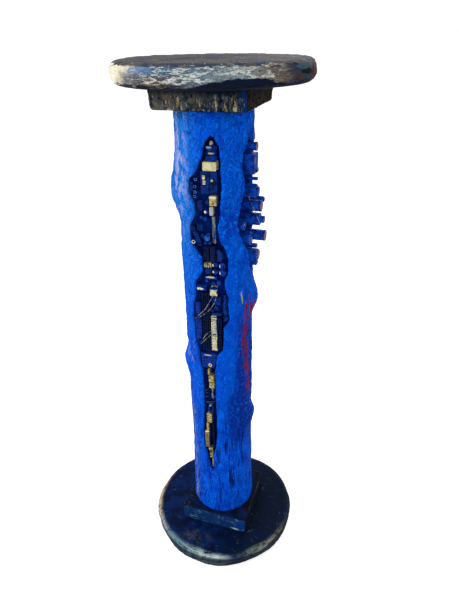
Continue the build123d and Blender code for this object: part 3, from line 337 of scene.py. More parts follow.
    def ramp(self, value: Signal, stops: Sequence[tuple[float, Colour]]) -> Signal:
        """A colour that changes with a value.

        Args:
            value: The value.
            stops: Pairs of a value and the colour there, in rising order.

        Returns:
            The colour.
        """
        low, high = stops[0][0], stops[-1][0]
        share = self.node("MapRange", {"Value": value, "From Min": low, "From Max": high})
        node = self.nodes.new("ShaderNodeValToRGB")
        self.feed(node.inputs[0], share)
        points = node.color_ramp.elements
        while len(points) < len(stops):
            points.new(1.0)
        for point, (place, colour) in zip(points, stops):
            point.position = (place - low) / (high - low)
            point.color = colour.linear()
        return Signal(self, node.outputs[0])

    def bump(self, height: Signal, depth: float, strength: float, under: Signal | None = None) -> Signal:
        """Fine relief.

        Args:
            height: Noise from 0 to 1.
            depth: Its depth in millimetres.
            strength: How much of it shows.
            under: Another relief that this one lies on.

        Returns:
            The changed normal.
        """
        inputs = {"Strength": strength, "Distance": depth * MILLIMETRE, "Height": height}
        if under is not None:
            inputs["Normal"] = under
        return self.node("Bump", inputs)

    def dress(
        self, colour: Signal, roughness: float, specular: float, normal: Signal, metallic: float = 0.0
    ) -> bpy.types.Material:
        """Sets the shader and gives the material."""
        inputs = {
            "Base Color": colour,
            "Roughness": roughness,
            "Specular IOR Level": specular,
            "Normal": normal,
            "Metallic": metallic,
        }
        for name, value in inputs.items():
            self.feed(self.shader.inputs[name], value)
        return self.material


@dataclass(frozen=True)
class Rub:
    """A place where another paint or the bare part shows through; on some parts it is a painted highlight.

    Args:
        middle: The place, in metres.
        reach: How far it reaches along x, y and z, in millimetres.
        colour: What shows there.
    """

    middle: Vector
    reach: tuple[float, float, float]
    colour: Colour


class Patch(NamedTuple):
    """A patch of another colour round the column, in degrees and millimetres."""

    azimuth: float
    turn: float
    level: float
    rise: float
    colour: Colour


@dataclass(frozen=True)
class CobaltPlaster:
    """Cobalt paint over rough fibrous plaster."""

    name: str = "cobalt_plaster"
    paint: Colour = Colour(0, 84, 216)
    # A paler blue for the fibres, and a painted highlight on the cloth ridges.
    light: Colour = Colour(4, 118, 236)
    dark: Colour = Colour(0, 60, 188)
    # A lighter blue, painted light on the upper left side.
    painted_light_blue: Colour = Colour(44, 138, 222)
    # These two colours are painted shade: the first for creases, grooves and the rough patch at the right,
    # the second for the deepest creases and grooves.
    crease_shade: Colour = Colour(0, 34, 128)
    deep_crease_shade: Colour = Colour(0, 10, 52)
    # Painted shade for the walls inside the openings.
    recess_shade: Colour = Colour(0, 24, 96)
    # Pale lilac, a painted sheen.
    sheen_lilac: Colour = Colour(164, 172, 222)
    rust: Colour = Colour(126, 26, 30)
    gold: Colour = Colour(150, 160, 98)

    def material(self) -> bpy.types.Material:
        """Builds the material."""
        bench = NodeBench(self.name)
        azimuth = bench.azimuth
        level = bench.level
        fibres = bench.blotches((4, 4, 14), 6, 0.65, shift=3)
        cloth = bench.blotches((13, 13, 19), 2, 0.5, shift=7, distortion=1.1)
        blue = bench.mix(bench.blotches((26, 26, 44), 6, 0.6).step(0.42, 0.66), self.paint, self.dark)
        # Painted light: the upper left of the shaft, facing the window lamp, is mixed towards a lighter blue.
        lit = azimuth.near(-42.0, 46.0) * level.step(520.0, 800.0)
        blue = bench.mix(lit * 0.75, blue, self.painted_light_blue)
        blue = bench.mix(fibres.step(0.54, 0.72) * 0.55, blue, self.light)
        blue = self.folds(bench, blue, level, cloth)
        blue = self.bark(bench, blue, azimuth, level)
        blue = self.worn(bench, blue, azimuth, level, fibres)
        # Painted shade inside the openings, below the shaft's skin.
        inside = bench.from_axis.step(57.0, 53.0)
        blue = bench.mix(inside * 0.9, blue, self.recess_shade)
        ridges = abs(cloth - 0.5)
        coarse = bench.bump(ridges, 16.0, 0.8, bench.bump(fibres, 2.0, 0.45))
        fine = bench.blotches((2.2, 2.2, 4.0), 3, 0.6, shift=2)
        return bench.dress(blue, 0.6, 0.02, bench.bump(fine, 0.7, 0.6, coarse))

    def folds(self, bench: NodeBench, blue: Signal, level: Signal, cloth: Signal) -> Signal:
        """Painted shade in the creases and painted highlights on the ridges, like crumpled cloth, strongest
        in the upper part.
        """
        upper = level.step(520.0, 720.0) * 0.55 + 0.45
        small = bench.blotches((7, 7, 10), 2, 0.5, shift=31, distortion=0.9)
        patchy = bench.blotches((24, 24, 30), 3, 0.5, shift=51).step(0.42, 0.58)
        # Painted highlights along the ridges.
        ridge = cloth.near(0.57, 0.05) * upper * 0.7
        blue = bench.mix(ridge, blue, self.light)
        blue = bench.mix(small.near(0.57, 0.05) * upper * 0.45, blue, self.light)
        # Painted shade in the creases.
        blue = bench.mix(small.crease(0.05) * upper * patchy * 0.35, blue, self.crease_shade)
        blue = bench.mix(cloth.crease(0.045) * upper * 0.5, blue, self.crease_shade)
        deep = cloth.crease(0.012) * small.step(0.5, 0.4) * upper * patchy * 0.7
        return bench.mix(deep, blue, self.deep_crease_shade)

    def bark(self, bench: NodeBench, blue: Signal, azimuth: Signal, level: Signal) -> Signal:
        """Painted shade in short upright grooves in the lower part, like bark, and rubbed lines at the left.
        """
        low = level.step(400.0, 250.0)
        for size, shift in ((4.2, 13), (6.0, 37)):
            grooves = bench.blotches((size, size, 10 * size), 1, 0.5, shift=shift, distortion=0.3)
            blue = bench.mix(grooves.step(0.41, 0.32) * low * 0.8, blue, self.crease_shade)
            blue = bench.mix(grooves.step(0.31, 0.26) * low * 0.8, blue, self.deep_crease_shade)
        lines = bench.blotches((2.4, 2.4, 26), 4, 0.6, shift=41)
        share = lines.step(0.52, 0.6) * azimuth.near(-48.0, 15.0) * low * 0.8
        return bench.mix(share, blue, self.gold)

    def worn(
        self, bench: NodeBench, blue: Signal, azimuth: Signal, level: Signal, fibres: Signal
    ) -> Signal:
        """The painted lilac sheen, the rubbed red streaks, the painted shade stippled over the rough patch
        and the pale specks.
        """
        high = level.step(650.0, 800.0)
        # Painted sheen on the upper left and on the bulge at the left, broken into patches.
        sheen_breakup = bench.blotches((10, 10, 26), 4, 0.6, shift=61).step(0.47, 0.56)
        left = azimuth.near(-43.0, 26.0) * high
        bulge = azimuth.near(-42.0, 18.0) * level.near(460.0, 26.0)
        sheen = left.most(bulge) * sheen_breakup * fibres.step(0.34, 0.52)
        blue = bench.mix(sheen * 0.8, blue, self.sheen_lilac)
        specks = bench.blotches((2.0, 2.0, 4.6), 3, 0.6, shift=11).step(0.64, 0.69)
        dusted = azimuth.near(-40.0, 20.0) * specks * level.step(640.0, 480.0)
        blue = bench.mix(dusted, blue, self.gold)
        rare = bench.blotches((2.6, 2.6, 5.0), 2, 0.5, shift=17).step(0.72, 0.76)
        blue = bench.mix(rare * level.step(300.0, 120.0), blue, self.gold)
        # Painted shade, stippled over a rough patch on the right side of the shaft.
        rough = azimuth.near(74.0, 40.0) * level.near(410.0, 230.0)
        low_rough = azimuth.near(58.0, 46.0) * level.near(325.0, 115.0)
        stipple = bench.blotches((5, 5, 7), 5, 0.7, shift=21).step(0.34, 0.54)
        shaded = rough.most(low_rough).step(0.0, 0.55)
        blue = bench.mix(shaded * stipple * 0.9, blue, self.crease_shade)
        bend = abs(level - 493.0)
        path = azimuth - bend * 0.12
        streaks = bench.blotches((6, 6, 17), 5, 0.65, shift=5)
        reach = level.step(592.0, 560.0) * level.step(352.0, 385.0)
        band = path.near(66.0, 12.0) * reach
        speckled = path.near(67.0, 22.0) * reach * fibres.step(0.56, 0.62) * 0.7
        wide = azimuth.near(90.0, 18.0) * level.near(545.0, 30.0)
        worn = band.most(wide) * streaks.step(0.46, 0.56)
        blue = bench.mix(worn.step(0.12, 0.5).most(speckled), blue, self.rust)
        curve = (level / 5.0).sine()
        aside = azimuth - curve * 1.2
        thread = aside.near(60.0, 2.4) * level.near(582.0, 19.0)
        return bench.mix(thread.step(0.12, 0.5), blue, self.gold)


@dataclass(frozen=True)
class SlabPatina:
    """The top slab: dark brown on top, dry brushed in silver, steel, cream and rust round its rim."""

    name: str = "slab_patina"
    rim: tuple[tuple[float, Colour], ...] = (
        (-180.0, Colour(70, 78, 86)),
        (-130.0, Colour(112, 116, 116)),
        (-80.0, Colour(96, 88, 78)),
        (-62.0, Colour(244, 234, 206)),
        (-42.0, Colour(255, 250, 228)),
        (-32.0, Colour(240, 230, 204)),
        (-25.0, Colour(124, 152, 180)),
        (-12.0, Colour(92, 128, 164)),
        (-3.0, Colour(78, 104, 130)),
        (14.0, Colour(104, 128, 144)),
        (32.0, Colour(138, 150, 154)),
        (46.0, Colour(134, 128, 116)),
        (56.0, Colour(112, 98, 86)),
        (66.0, Colour(58, 62, 82)),
        (78.0, Colour(46, 66, 86)),
        (88.0, Colour(88, 50, 38)),
        (110.0, Colour(46, 42, 48)),
        (150.0, Colour(86, 94, 102)),
        (180.0, Colour(70, 78, 86)),
    )
    patches: tuple[Patch, ...] = (
        Patch(53.0, 9.0, 950.0, 8.0, Colour(150, 124, 96)),
        Patch(66.0, 14.0, 951.0, 9.0, Colour(26, 38, 66)),
        Patch(77.0, 8.0, 945.0, 9.0, Colour(66, 100, 116)),
        Patch(79.0, 9.0, 936.0, 5.0, Colour(10, 16, 24)),
        Patch(69.0, 7.0, 930.0, 5.0, Colour(74, 48, 42)),
    )
    top: Colour = Colour(90, 84, 80)
    top_cool: Colour = Colour(56, 64, 82)
    tan: Colour = Colour(128, 112, 94)
    umber: Colour = Colour(96, 84, 76)
    cream: Colour = Colour(228, 214, 184)
    # Near black, for the rim's bottom edge.
    bottom_edge_dark: Colour = Colour(22, 20, 30)
    crease: Colour = Colour(26, 34, 50)
    navy: Colour = Colour(12, 24, 48)
    silver: Colour = Colour(226, 232, 226)

    def material(self) -> bpy.types.Material:
        """Builds the material."""
        bench = NodeBench(self.name)
        level = bench.level
        stir = bench.blotches((34, 34, 12), 5, 0.6, shift=1)
        wrinkles = bench.strokes(19, 4.6, 11, 4, shift=4)
        fine = bench.strokes(10, 2.2, 6, 3, shift=9)
        rim = self.round_rim(bench, level, stir, wrinkles, fine)
        top = bench.mix(bench.blotches((30, 30, 30), 5).step(0.42, 0.58), self.top, self.top_cool)
        top = bench.mix(bench.blotches((8, 8, 8), 5, 0.7, shift=8).step(0.58, 0.68), top, self.tan)
        top = bench.mix(bench.blotches((5, 5, 5), 4, 0.7, shift=18).step(0.63, 0.7), top, self.silver)
        up = bench.facing("Z") + stir.sway(0.5)
        colour = bench.mix(up.step(0.62, 0.8), rim, top)
        colour = bench.mix(bench.facing("Z").step(-0.75, -0.9), colour, self.navy)
        ridges = abs(wrinkles - 0.5)
        return bench.dress(colour, 0.6, 0.04, bench.bump(fine, 1.6, 0.8, bench.bump(ridges, 10.0, 0.9)))

    def round_rim(
        self, bench: NodeBench, level: Signal, stir: Signal, wrinkles: Signal, fine: Signal
    ) -> Signal:
        """The rim's colours, from its ground to the silver strokes on its ridges."""
        azimuth = bench.azimuth
        turned = azimuth + stir.sway(30.0)
        rim = bench.ramp(turned, self.rim)
        for patch in self.patches:
            share = turned.near(patch.azimuth, patch.turn) * level.near(patch.level, patch.rise)
            rim = bench.mix(share.step(0.1, 0.4), rim, patch.colour)
        bottom_left = turned.near(-14.0, 32.0) * level.step(941.0, 933.0)
        rim = bench.mix(bottom_left * 0.95, rim, self.umber)
        streaks = bottom_left * fine.step(0.54, 0.62)
        rim = bench.mix(streaks * 0.85, rim, self.cream)
        brushed = azimuth.near(20.0, 50.0) * level.step(922.0, 932.0)
        brushed = brushed.step(0.0, 0.4)
        ridge = wrinkles.near(0.57, 0.055).most(fine.near(0.6, 0.06))
        ridge = ridge.most(wrinkles.step(0.62, 0.68))
        rim = bench.mix(brushed * ridge * 0.85, rim, self.silver)
        cracked = fine.crease(0.012) * wrinkles.step(0.42, 0.52)
        rim = bench.mix(cracked * 0.7, rim, self.umber)
        plain = azimuth.near(-46.0, 22.0).step(0.7, 0.2)
        rim = bench.mix(wrinkles.crease(0.03) * plain * 0.5, rim, self.crease)
        rim = bench.mix(fine.crease(0.016) * plain * 0.35, rim, self.crease)
        rim = bench.mix(wrinkles.step(0.36, 0.3) * plain * 0.7, rim, self.crease)
        edge = azimuth.near(35.0, 44.0) * 16.0 + 918.0
        edge = edge + (stir.sway(12.0) + fine.sway(5.0))
        rim = bench.mix((level - edge).step(1.0, -0.8), rim, self.navy)
        # The rim turns near black along its ragged bottom edge.
        ragged = level + wrinkles.sway(22.0)
        return bench.mix(ragged.step(926.0, 922.0) * 0.95, rim, self.bottom_edge_dark)


@dataclass(frozen=True)
class CapitalPatina:
    """The capital: navy with upright gold and cream strokes on its front, a painted shadow along the top of
    the front, almost black at the right.
    """

    name: str = "capital_patina"
    navy: Colour = Colour(10, 24, 56)
    black: Colour = Colour(8, 11, 20)
    brown: Colour = Colour(20, 18, 20)
    gold: Colour = Colour(146, 124, 78)
    cream: Colour = Colour(196, 190, 160)
    steel: Colour = Colour(66, 84, 98)
    dust: Colour = Colour(96, 94, 84)
    blue: Colour = Colour(8, 44, 104)
    streaks: tuple[float, ...] = (-42.0, -28.0, 30.0, 57.0)

    def material(self) -> bpy.types.Material:
        """Builds the material."""
        bench = NodeBench(self.name)
        across = bench.x / MILLIMETRE
        level = bench.level
        ground = bench.mix(bench.blotches((12, 12, 12), 5).step(0.4, 0.6), self.navy, self.black)
        steel = bench.blotches((6, 6, 9), 5, 0.65, shift=2).step(0.46, 0.62)
        ground = bench.mix(steel * 0.8, ground, self.steel)
        dusty = across.step(40.0, -30.0) * bench.blotches((9, 9, 14), 5, shift=32).step(0.4, 0.6)
        ground = bench.mix(dusty * 0.75, ground, self.dust)
        strokes = bench.blotches((3.0, 3.0, 11), 4, 0.6, shift=4, distortion=0.4)
        wander = across + bench.blotches((9, 9, 16), 4, shift=22).sway(14.0)
        strong = wander.near(self.streaks[0], 5.0)
        for middle in self.streaks[1:]:
            strong = strong.most(wander.near(middle, 5.0))
        share = strokes + strong * 0.1
        pale = bench.mix(bench.blotches((6, 6, 9), 4, shift=9).step(0.5, 0.58), self.gold, self.cream)
        lit = (level + strokes.sway(16.0)).step(913.0, 903.0)
        colour = bench.mix(share.step(0.52, 0.7) * lit * 0.78, ground, pale)
        # Painted shadow of the slab along the top of the front face.
        slab_shadow = level.step(903.0, 914.0) * 0.85
        colour = bench.mix(slab_shadow, colour, self.black)
        patch = across.near(70.0, 6.0) * strokes.step(0.58, 0.48)
        colour = bench.mix(patch.step(0.1, 0.5), colour, self.blue)
        right = bench.facing("X").step(0.55, 0.75)
        side = bench.mix(strokes.step(0.56, 0.68) * 0.35, self.brown, self.gold)
        colour = bench.mix(right, colour, side)
        colour = bench.mix(bench.facing("Z").step(-0.6, -0.8), colour, self.black)
        return bench.dress(colour, 0.6, 0.03, bench.bump(strokes, 2.0, 0.9))


@dataclass(frozen=True)
class DiscPatina:
    """The base disc: deep navy, scuffed, with a worn rim that changes colour and width round it."""

    name: str = "disc_patina"
    navy: Colour = Colour(6, 30, 76)
    night: Colour = Colour(5, 18, 48)
    moss: Colour = Colour(5, 19, 38)
    scuff: Colour = Colour(74, 78, 74)
    pale: Colour = Colour(112, 142, 150)
    side: Colour = Colour(22, 30, 48)
    rim: tuple[tuple[float, Colour], ...] = (
        (-180.0, Colour(50, 56, 64)),
        (-112.0, Colour(80, 84, 84)),
        (-96.0, Colour(206, 184, 140)),
        (-62.0, Colour(222, 202, 160)),
        (-54.0, Colour(190, 190, 178)),
        (-40.0, Colour(120, 142, 146)),
        (-24.0, Colour(110, 148, 156)),
        (-4.0, Colour(176, 204, 198)),
        (14.0, Colour(192, 206, 204)),
        (26.0, Colour(40, 60, 96)),
        (38.0, Colour(100, 118, 114)),
        (56.0, Colour(136, 138, 124)),
        (76.0, Colour(110, 106, 92)),
        (96.0, Colour(50, 54, 60)),
        (180.0, Colour(50, 56, 64)),
    )
    width: tuple[tuple[float, float], ...] = (
        (-108.0, 1.5),
        (-92.0, 3.4),
        (-62.0, 4.0),
        (-46.0, 6.4),
        (-24.0, 10.0),
        (-4.0, 12.0),
        (10.0, 9.0),
        (24.0, 5.0),
        (32.0, 6.0),
        (44.0, 11.0),
        (58.0, 8.0),
        (84.0, 3.0),
        (120.0, 1.5),
    )

    def band(self, bench: NodeBench, azimuth: Signal) -> Signal:
        """How wide the worn rim is, in millimetres."""
        largest = max(width for _, width in self.width)
        greys = [(turn, Colour(*[255 * width / largest] * 3)) for turn, width in self.width]
        share = bench.node("SeparateColor", {0: bench.ramp(azimuth, greys)})
        return share ** CHART_GAMMA * largest

    def material(self) -> bpy.types.Material:
        """Builds the material."""
        bench = NodeBench(self.name)
        azimuth = bench.azimuth
        out = bench.from_axis
        ground = bench.mix(bench.x.step(-0.01, 0.07), self.navy, self.moss)
        ground = bench.mix(bench.blotches((26, 26, 26), 5, shift=5).step(0.44, 0.6), ground, self.night)
        brushed = bench.blotches((14, 14, 14), 7, 0.74, shift=3)
        scuffed = bench.spot(Vector((-0.03, -0.112, 0.025)), (52, 24, 20))
        share = scuffed * brushed.step(0.42, 0.58)
        colour = bench.mix(share * 0.85, ground, self.scuff)
        thin = bench.blotches((30, 12, 14), 4, 0.6, shift=12)
        scratch = thin.crease(0.012) * brushed.step(0.54, 0.64) * 0.45
        colour = bench.mix(scratch, colour, self.pale)
        flakes = bench.blotches((3.4, 3.4, 3.4), 4, 0.7, shift=15).step(0.68, 0.74)
        colour = bench.mix(flakes * 0.5, colour, self.scuff)
        streaks = bench.strokes(26, 5, 2.6, 5, shift=6)
        inner = streaks.sway(12.0) + 151.0 - self.band(bench, azimuth)
        band = (out - inner).step(-7.0, 4.0)
        worn = band * brushed.step(0.34, 0.56) * streaks.step(0.34, 0.52) * 0.95
        colour = bench.mix(worn, colour, bench.ramp(azimuth, self.rim))
        outer = (out + streaks.sway(7.0)).step(148.4, 151.0)
        outer = outer * azimuth.step(-62.0, -46.0)
        colour = bench.mix(outer * 0.9, colour, self.side)
        low = bench.level + streaks.sway(8.0)
        colour = bench.mix(low.step(13.0, 9.0), colour, self.side)
        return bench.dress(colour, 0.5, 0.03, bench.bump(bench.blotches((1.6, 1.6, 1.6), 5, 0.7), 0.5, 0.6))


@dataclass(frozen=True)
class PlinthPatina:
    """The plinth: navy, bluer in front, its edges rubbed and scratched pale."""

    name: str = "plinth_patina"
    navy: Colour = Colour(10, 26, 62)
    blue: Colour = Colour(14, 48, 100)
    bright: Colour = Colour(10, 50, 116)
    night: Colour = Colour(10, 15, 24)
    pale: Colour = Colour(120, 156, 170)
    flare: Colour = Colour(176, 216, 224)
    beige: Colour = Colour(138, 136, 112)

    def material(self) -> bpy.types.Material:
        """Builds the material."""
        bench = NodeBench(self.name)
        stir = bench.blotches((14, 14, 14), 6, 0.7, shift=6)
        ground = bench.mix(bench.blotches((20, 20, 16), 5).step(0.42, 0.6), self.navy, self.night)
        front = bench.facing("Y").step(-0.6, -0.8)
        ground = bench.mix(front * 0.85, ground, self.blue)
        corner = front * bench.x.step(0.044, 0.052)
        ground = bench.mix(corner, ground, self.bright)
        right = bench.facing("X").step(0.6, 0.8)
        ground = bench.mix(right * 0.9, ground, self.night)
        edge = bench.attribute("edge")
        along = bench.blotches((60, 60, 3.4), 3, 0.5, shift=2)
        rubbed = (edge * along).step(0.34, 0.5)
        colour = bench.mix(rubbed * right.step(0.6, 0.3) * 0.8, ground, self.pale)
        scratches = along.crease(0.03) * stir.step(0.5, 0.58) * front * 0.7
        colour = bench.mix(scratches, colour, self.pale)
        glint = bench.spot(Vector((0.048, -0.0725, 0.03)), (13, 12, 6))
        colour = bench.mix(glint * along.step(0.4, 0.5), colour, self.flare)
        flecks = bench.blotches((3, 3, 3), 4, 0.7, shift=15).step(0.6, 0.67)
        left = bench.x.step(-0.05, -0.066)
        dusted = flecks * right.most(left) * stir.step(0.42, 0.56)
        colour = bench.mix(dusted * 0.9, colour, self.beige)
        return bench.dress(colour, 0.55, 0.03, bench.bump(along, 1.4, 0.8))


@dataclass(frozen=True)
class Overpaint:
    """Paint brushed over old parts, pale along their edges, partly where it is worn off and partly as a
    painted highlight.

    Args:
        name: Name of the material.
        paint: The paint.
        dark: The paint where it is thin or in shadow.
        worn: What shows along the edges, partly worn paint and partly a painted highlight.
        wear: How much of the edges is pale, from 0 to 1.
        metal: How metallic it is.
        gloss: Its roughness.
        grain: Size in millimetres of its unevenness.
        rubs: Places of another colour.
    """

    name: str
    paint: Colour
    dark: Colour
    worn: Colour
    wear: float = 0.5
    metal: float = 0.0
    gloss: float = 0.4
    grain: tuple[float, float, float] = (9.0, 9.0, 9.0)
    rubs: tuple[Rub, ...] = ()

    def material(self) -> bpy.types.Material:
        """Builds the material."""
        bench = NodeBench(self.name)
        colour = bench.mix(bench.blotches(self.grain, 5).step(0.4, 0.62), self.paint, self.dark)
        edge = bench.attribute("edge")
        brushed = bench.blotches((3, 3, 3), 5, 0.7, shift=6)
        # The pale edges are partly worn paint and partly a painted highlight.
        rubbed = edge * brushed
        share = rubbed.step(0.6 - 0.4 * self.wear, 0.7 - 0.4 * self.wear)
        colour = bench.mix(share, colour, self.worn)
        for rub in self.rubs:
            inside = bench.spot(rub.middle, rub.reach)
            inside = inside + brushed.sway(0.6)
            colour = bench.mix(inside.step(0.3, 0.5), colour, rub.colour)
        normal = bench.bump(bench.blotches((1.2, 1.2, 1.2), 4, 0.6), 0.3, 0.6)
        return bench.dress(colour, self.gloss, 0.07, normal, self.metal)


def deselect() -> None:
    """Leaves object mode with nothing selected."""
    if bpy.context.mode != "OBJECT":
        bpy.ops.object.mode_set(mode="OBJECT")
    bpy.ops.object.select_all(action="DESELECT")


def pick(piece: bpy.types.Object) -> None:
    """Selects one piece and makes it active."""
    deselect()
    piece.select_set(True)
    bpy.context.view_layer.objects.active = piece


def shape(piece: bpy.types.Object, kind: str, **settings: object) -> None:
    """Adds a modifier and applies it.

    Args:
        piece: The piece.
        kind: Blender's name of the modifier.
        settings: The modifier's settings.
    """
    pick(piece)
    modifier = piece.modifiers.new(kind.lower(), kind)
    for name, value in settings.items():
        setattr(modifier, name, value)
    bpy.ops.object.modifier_apply(modifier=modifier.name)


def copy_of(node: str, name: str) -> bpy.types.Object:
    """A copy of a CAD node, with its loose triangles merged, that stands for the node.

    Args:
        node: The CAD node.
        name: Name of the copy.

    Returns:
        The copy, with no materials.
    """
    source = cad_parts[node]
    piece = bpy.data.objects.new(name, source.data.copy())
    bpy.context.scene.collection.objects.link(piece)
    piece.data.materials.clear()
    pick(piece)
    bpy.ops.object.mode_set(mode="EDIT")
    bpy.ops.mesh.select_all(action="SELECT")
    bpy.ops.mesh.remove_doubles(threshold=MERGE_DISTANCE)
    bpy.ops.object.mode_set(mode="OBJECT")
    if piece.data.has_custom_normals:
        bpy.ops.mesh.customdata_custom_splitnormals_clear()
    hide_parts(node)
    return piece


def hand_in(piece: bpy.types.Object, finish: bpy.types.Material) -> None:
    """Gives a finished piece its body and its finish."""
    piece.data.materials.clear()
    piece.data.materials.append(finish)
    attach(piece, BODY)


def keep_number(mesh: bpy.types.Mesh, name: str, values: Sequence[float]) -> None:
    """Keeps a number at each point of a mesh, for its material to read."""
    mesh.attributes.new(name, "FLOAT", "POINT").data.foreach_set("value", values)


@dataclass(frozen=True)
class ReliefLayer:
    """Lumps or wrinkles of one size, in millimetres.

    Args:
        height: How far they stand out.
        size: How long they are along x, y and z.
        ridged: True for sharp creases in place of round lumps.
        warp: How far the creases are bent, as a share of their size.
        levels: The levels between which they fade in, or None where they are all over.
    """

    height: float
    size: tuple[float, float, float]
    ridged: bool = False
    warp: float = 0.0
    levels: tuple[float, float] | None = None

    def at(self, point: Vector) -> float:
        """How far the layer stands out at a point, as a share of its height from -1 to 1."""
        spot = Vector([part / (long * MILLIMETRE) for part, long in zip(point, self.size)])
        if self.warp:
            spot += noise.noise_vector(spot * 0.5) * self.warp
        if self.ridged:
            value = 1.0 - 2.4 * abs(noise.fractal(spot, 0.8, 2.1, 3))
        else:
            value = 1.4 * noise.fractal(spot, 0.9, 2.1, 4)
        if self.levels is None:
            return value
        low, high = self.levels
        share = min(1.0, max(0.0, (point.z / MILLIMETRE - low) / (high - low)))
        return value * share


@dataclass
class PlasterPiece:
    """A CAD node of plaster, taken again as a fine mesh with relief.

    Args:
        node: The CAD node.
        name: Name of the piece.
        voxel: Size of its mesh, in millimetres.
        layers: Its relief.
        slot: Its slot; not used.
        edge_width: How wide its worn edges are, in millimetres.
        smoothing: How often its mesh is smoothed.
    """

    node: str
    name: str
    voxel: float
    layers: tuple[ReliefLayer, ...]
    slot: Slot
    edge_width: float = 4.0
    smoothing: int = 0

    def hold(self, place: Vector, normal: Vector) -> float:
        """The share of the relief that a point takes."""
        return 1.0

    def edge(self, place: Vector, low: Vector, high: Vector) -> float:
        """How near a point is to an edge of the box: 1 on it and 0 inside the edge's width."""
        away = sorted(min(place[axis] - low[axis], high[axis] - place[axis]) for axis in range(3))
        return max(0.0, 1.0 - away[1] / (self.edge_width * MILLIMETRE))

    def sculpt(self, mesh: bpy.types.Mesh) -> None:
        """Moves the points in and out by the layers, and keeps the relief and the edges as numbers."""
        total = sum(layer.height for layer in self.layers)
        places = [vertex.co.copy() for vertex in mesh.vertices]
        normals = [vertex.normal.copy() for vertex in mesh.vertices]
        values = []
        for vertex, place, normal in zip(mesh.vertices, places, normals):
            share = self.hold(place, normal)
            rise = share * sum(layer.height * layer.at(place) for layer in self.layers)
            values.append(min(1.0, max(0.0, 0.5 + 0.5 * rise / total)))
            vertex.co = place + normal * (rise * MILLIMETRE)
        keep_number(mesh, "relief", values)
        low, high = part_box(self.node)
        keep_number(mesh, "edge", [self.edge(place, low, high) for place in places])
        mesh.update()

    def build(self, finish: bpy.types.Material) -> bpy.types.Object:
        """Makes the piece.

        Args:
            finish: Its material.

        Returns:
            The piece.
        """
        piece = copy_of(self.node, self.name)
        shape(piece, "REMESH", mode="VOXEL", voxel_size=self.voxel * MILLIMETRE, use_smooth_shade=True)
        if self.smoothing:
            shape(piece, "SMOOTH", factor=SMOOTH_SHARE, iterations=self.smoothing)
        self.sculpt(piece.data)
        hand_in(piece, finish)
        return piece


@dataclass
class Shaft(PlasterPiece):
    """The shaft: its skin takes the relief, the floors of its openings don't."""

    skin: float = 58.0
    fade: float = 6.0
    floor_share: float = 0.12
    flat_normal: float = 0.8

    def hold(self, place: Vector, normal: Vector) -> float:
        """The share of the relief that a point takes."""
        if abs(normal.z) > self.flat_normal:
            return 0.0
        out = math.hypot(place.x, place.y) / MILLIMETRE
        return min(1.0, max(self.floor_share, (out - self.skin + self.fade) / self.fade))


@dataclass
class FlatPiece(PlasterPiece):
    """A slab or plate whose underside stays flat."""

    flat_normal: float = 0.7
    top_share: float = 0.35
    underside_share: float = 0.1

    def hold(self, place: Vector, normal: Vector) -> float:
        """The share of the relief that a point takes."""
        if normal.z < -self.flat_normal:
            return self.underside_share
        return 1.0 if normal.z < self.flat_normal else self.top_share


@dataclass(frozen=True)
class Opening:
    """A torn opening of the shaft, in degrees from the front and millimetres from the axis."""

    azimuth: float
    floor: float

    def place(self, across: float, drop: float, height: float) -> Vector:
        """A point of the opening.

        Args:
            across: Millimetres to the right of its middle.
            drop: Millimetres below the shaft's top.
            height: Millimetres above its floor.

        Returns:
            The point, in metres.
        """
        turn = math.radians(self.azimuth)
        out = self.floor + height
        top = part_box("shaft")[1].z
        x = across * math.cos(turn) + out * math.sin(turn)
        y = across * math.sin(turn) - out * math.cos(turn)
        return Vector((x * MILLIMETRE, y * MILLIMETRE, top - drop * MILLIMETRE))

    def rub(
        self, across: float, drop: float, height: float, reach: tuple[float, float, float], colour: Colour
    ) -> Rub:
        """A rub on a part of the opening."""
        return Rub(self.place(across, drop, height), reach, colour)


FRONT = Opening(azimuth=5.0, floor=42.0)
SIDE = Opening(azimuth=90.0, floor=44.0)

# The worn colour of each paint, along the parts' edges, is partly a painted highlight.
BLUE = Overpaint("blue_overpaint", Colour(0, 50, 146), Colour(0, 20, 80), Colour(36, 112, 204))
DEEP = Overpaint("deep_blue_overpaint", Colour(0, 44, 118), Colour(0, 20, 66), Colour(24, 94, 180), wear=0.4)
BLACK = Overpaint(
    "relay_black", Colour(3, 20, 70), Colour(1, 8, 32), Colour(10, 58, 140), wear=0.4, gloss=0.4
)
# A lighter copy of the blue for the side opening's parts, painted light where they lie in shade.
LIT_SIDE_BLUE = Overpaint("lit_side_blue", Colour(0, 68, 180), Colour(0, 34, 112), Colour(76, 146, 214), wear=0.6)
CREAM = Overpaint(
    "rubbed_cream", Colour(214, 208, 172), Colour(150, 146, 112), Colour(240, 236, 212), grain=(3, 3, 3)
)
GOLD = Overpaint(
    "rubbed_gold",
    Colour(186, 170, 112),
    Colour(124, 108, 62),
    Colour(224, 214, 170),
    metal=0.2,
    gloss=0.4,
    grain=(4, 4, 4),
)
SILVER = Overpaint(
    "bare_silver",
    Colour(168, 172, 168),
    Colour(84, 92, 104),
    Colour(220, 222, 216),
    metal=0.4,
    gloss=0.34,
    grain=(3, 3, 12),
)
BARE = Overpaint(
    "bare_lead",
    Colour(150, 152, 142),
    Colour(16, 46, 112),
    Colour(176, 180, 170),
    wear=0.3,
    metal=0.2,
    gloss=0.4,
    grain=(5, 5, 5),
)
PALE = Colour(214, 208, 172)
BARE_BLUE = Colour(0, 36, 110)
COPPER = Colour(136, 84, 42)
OLIVE = Colour(112, 108, 62)


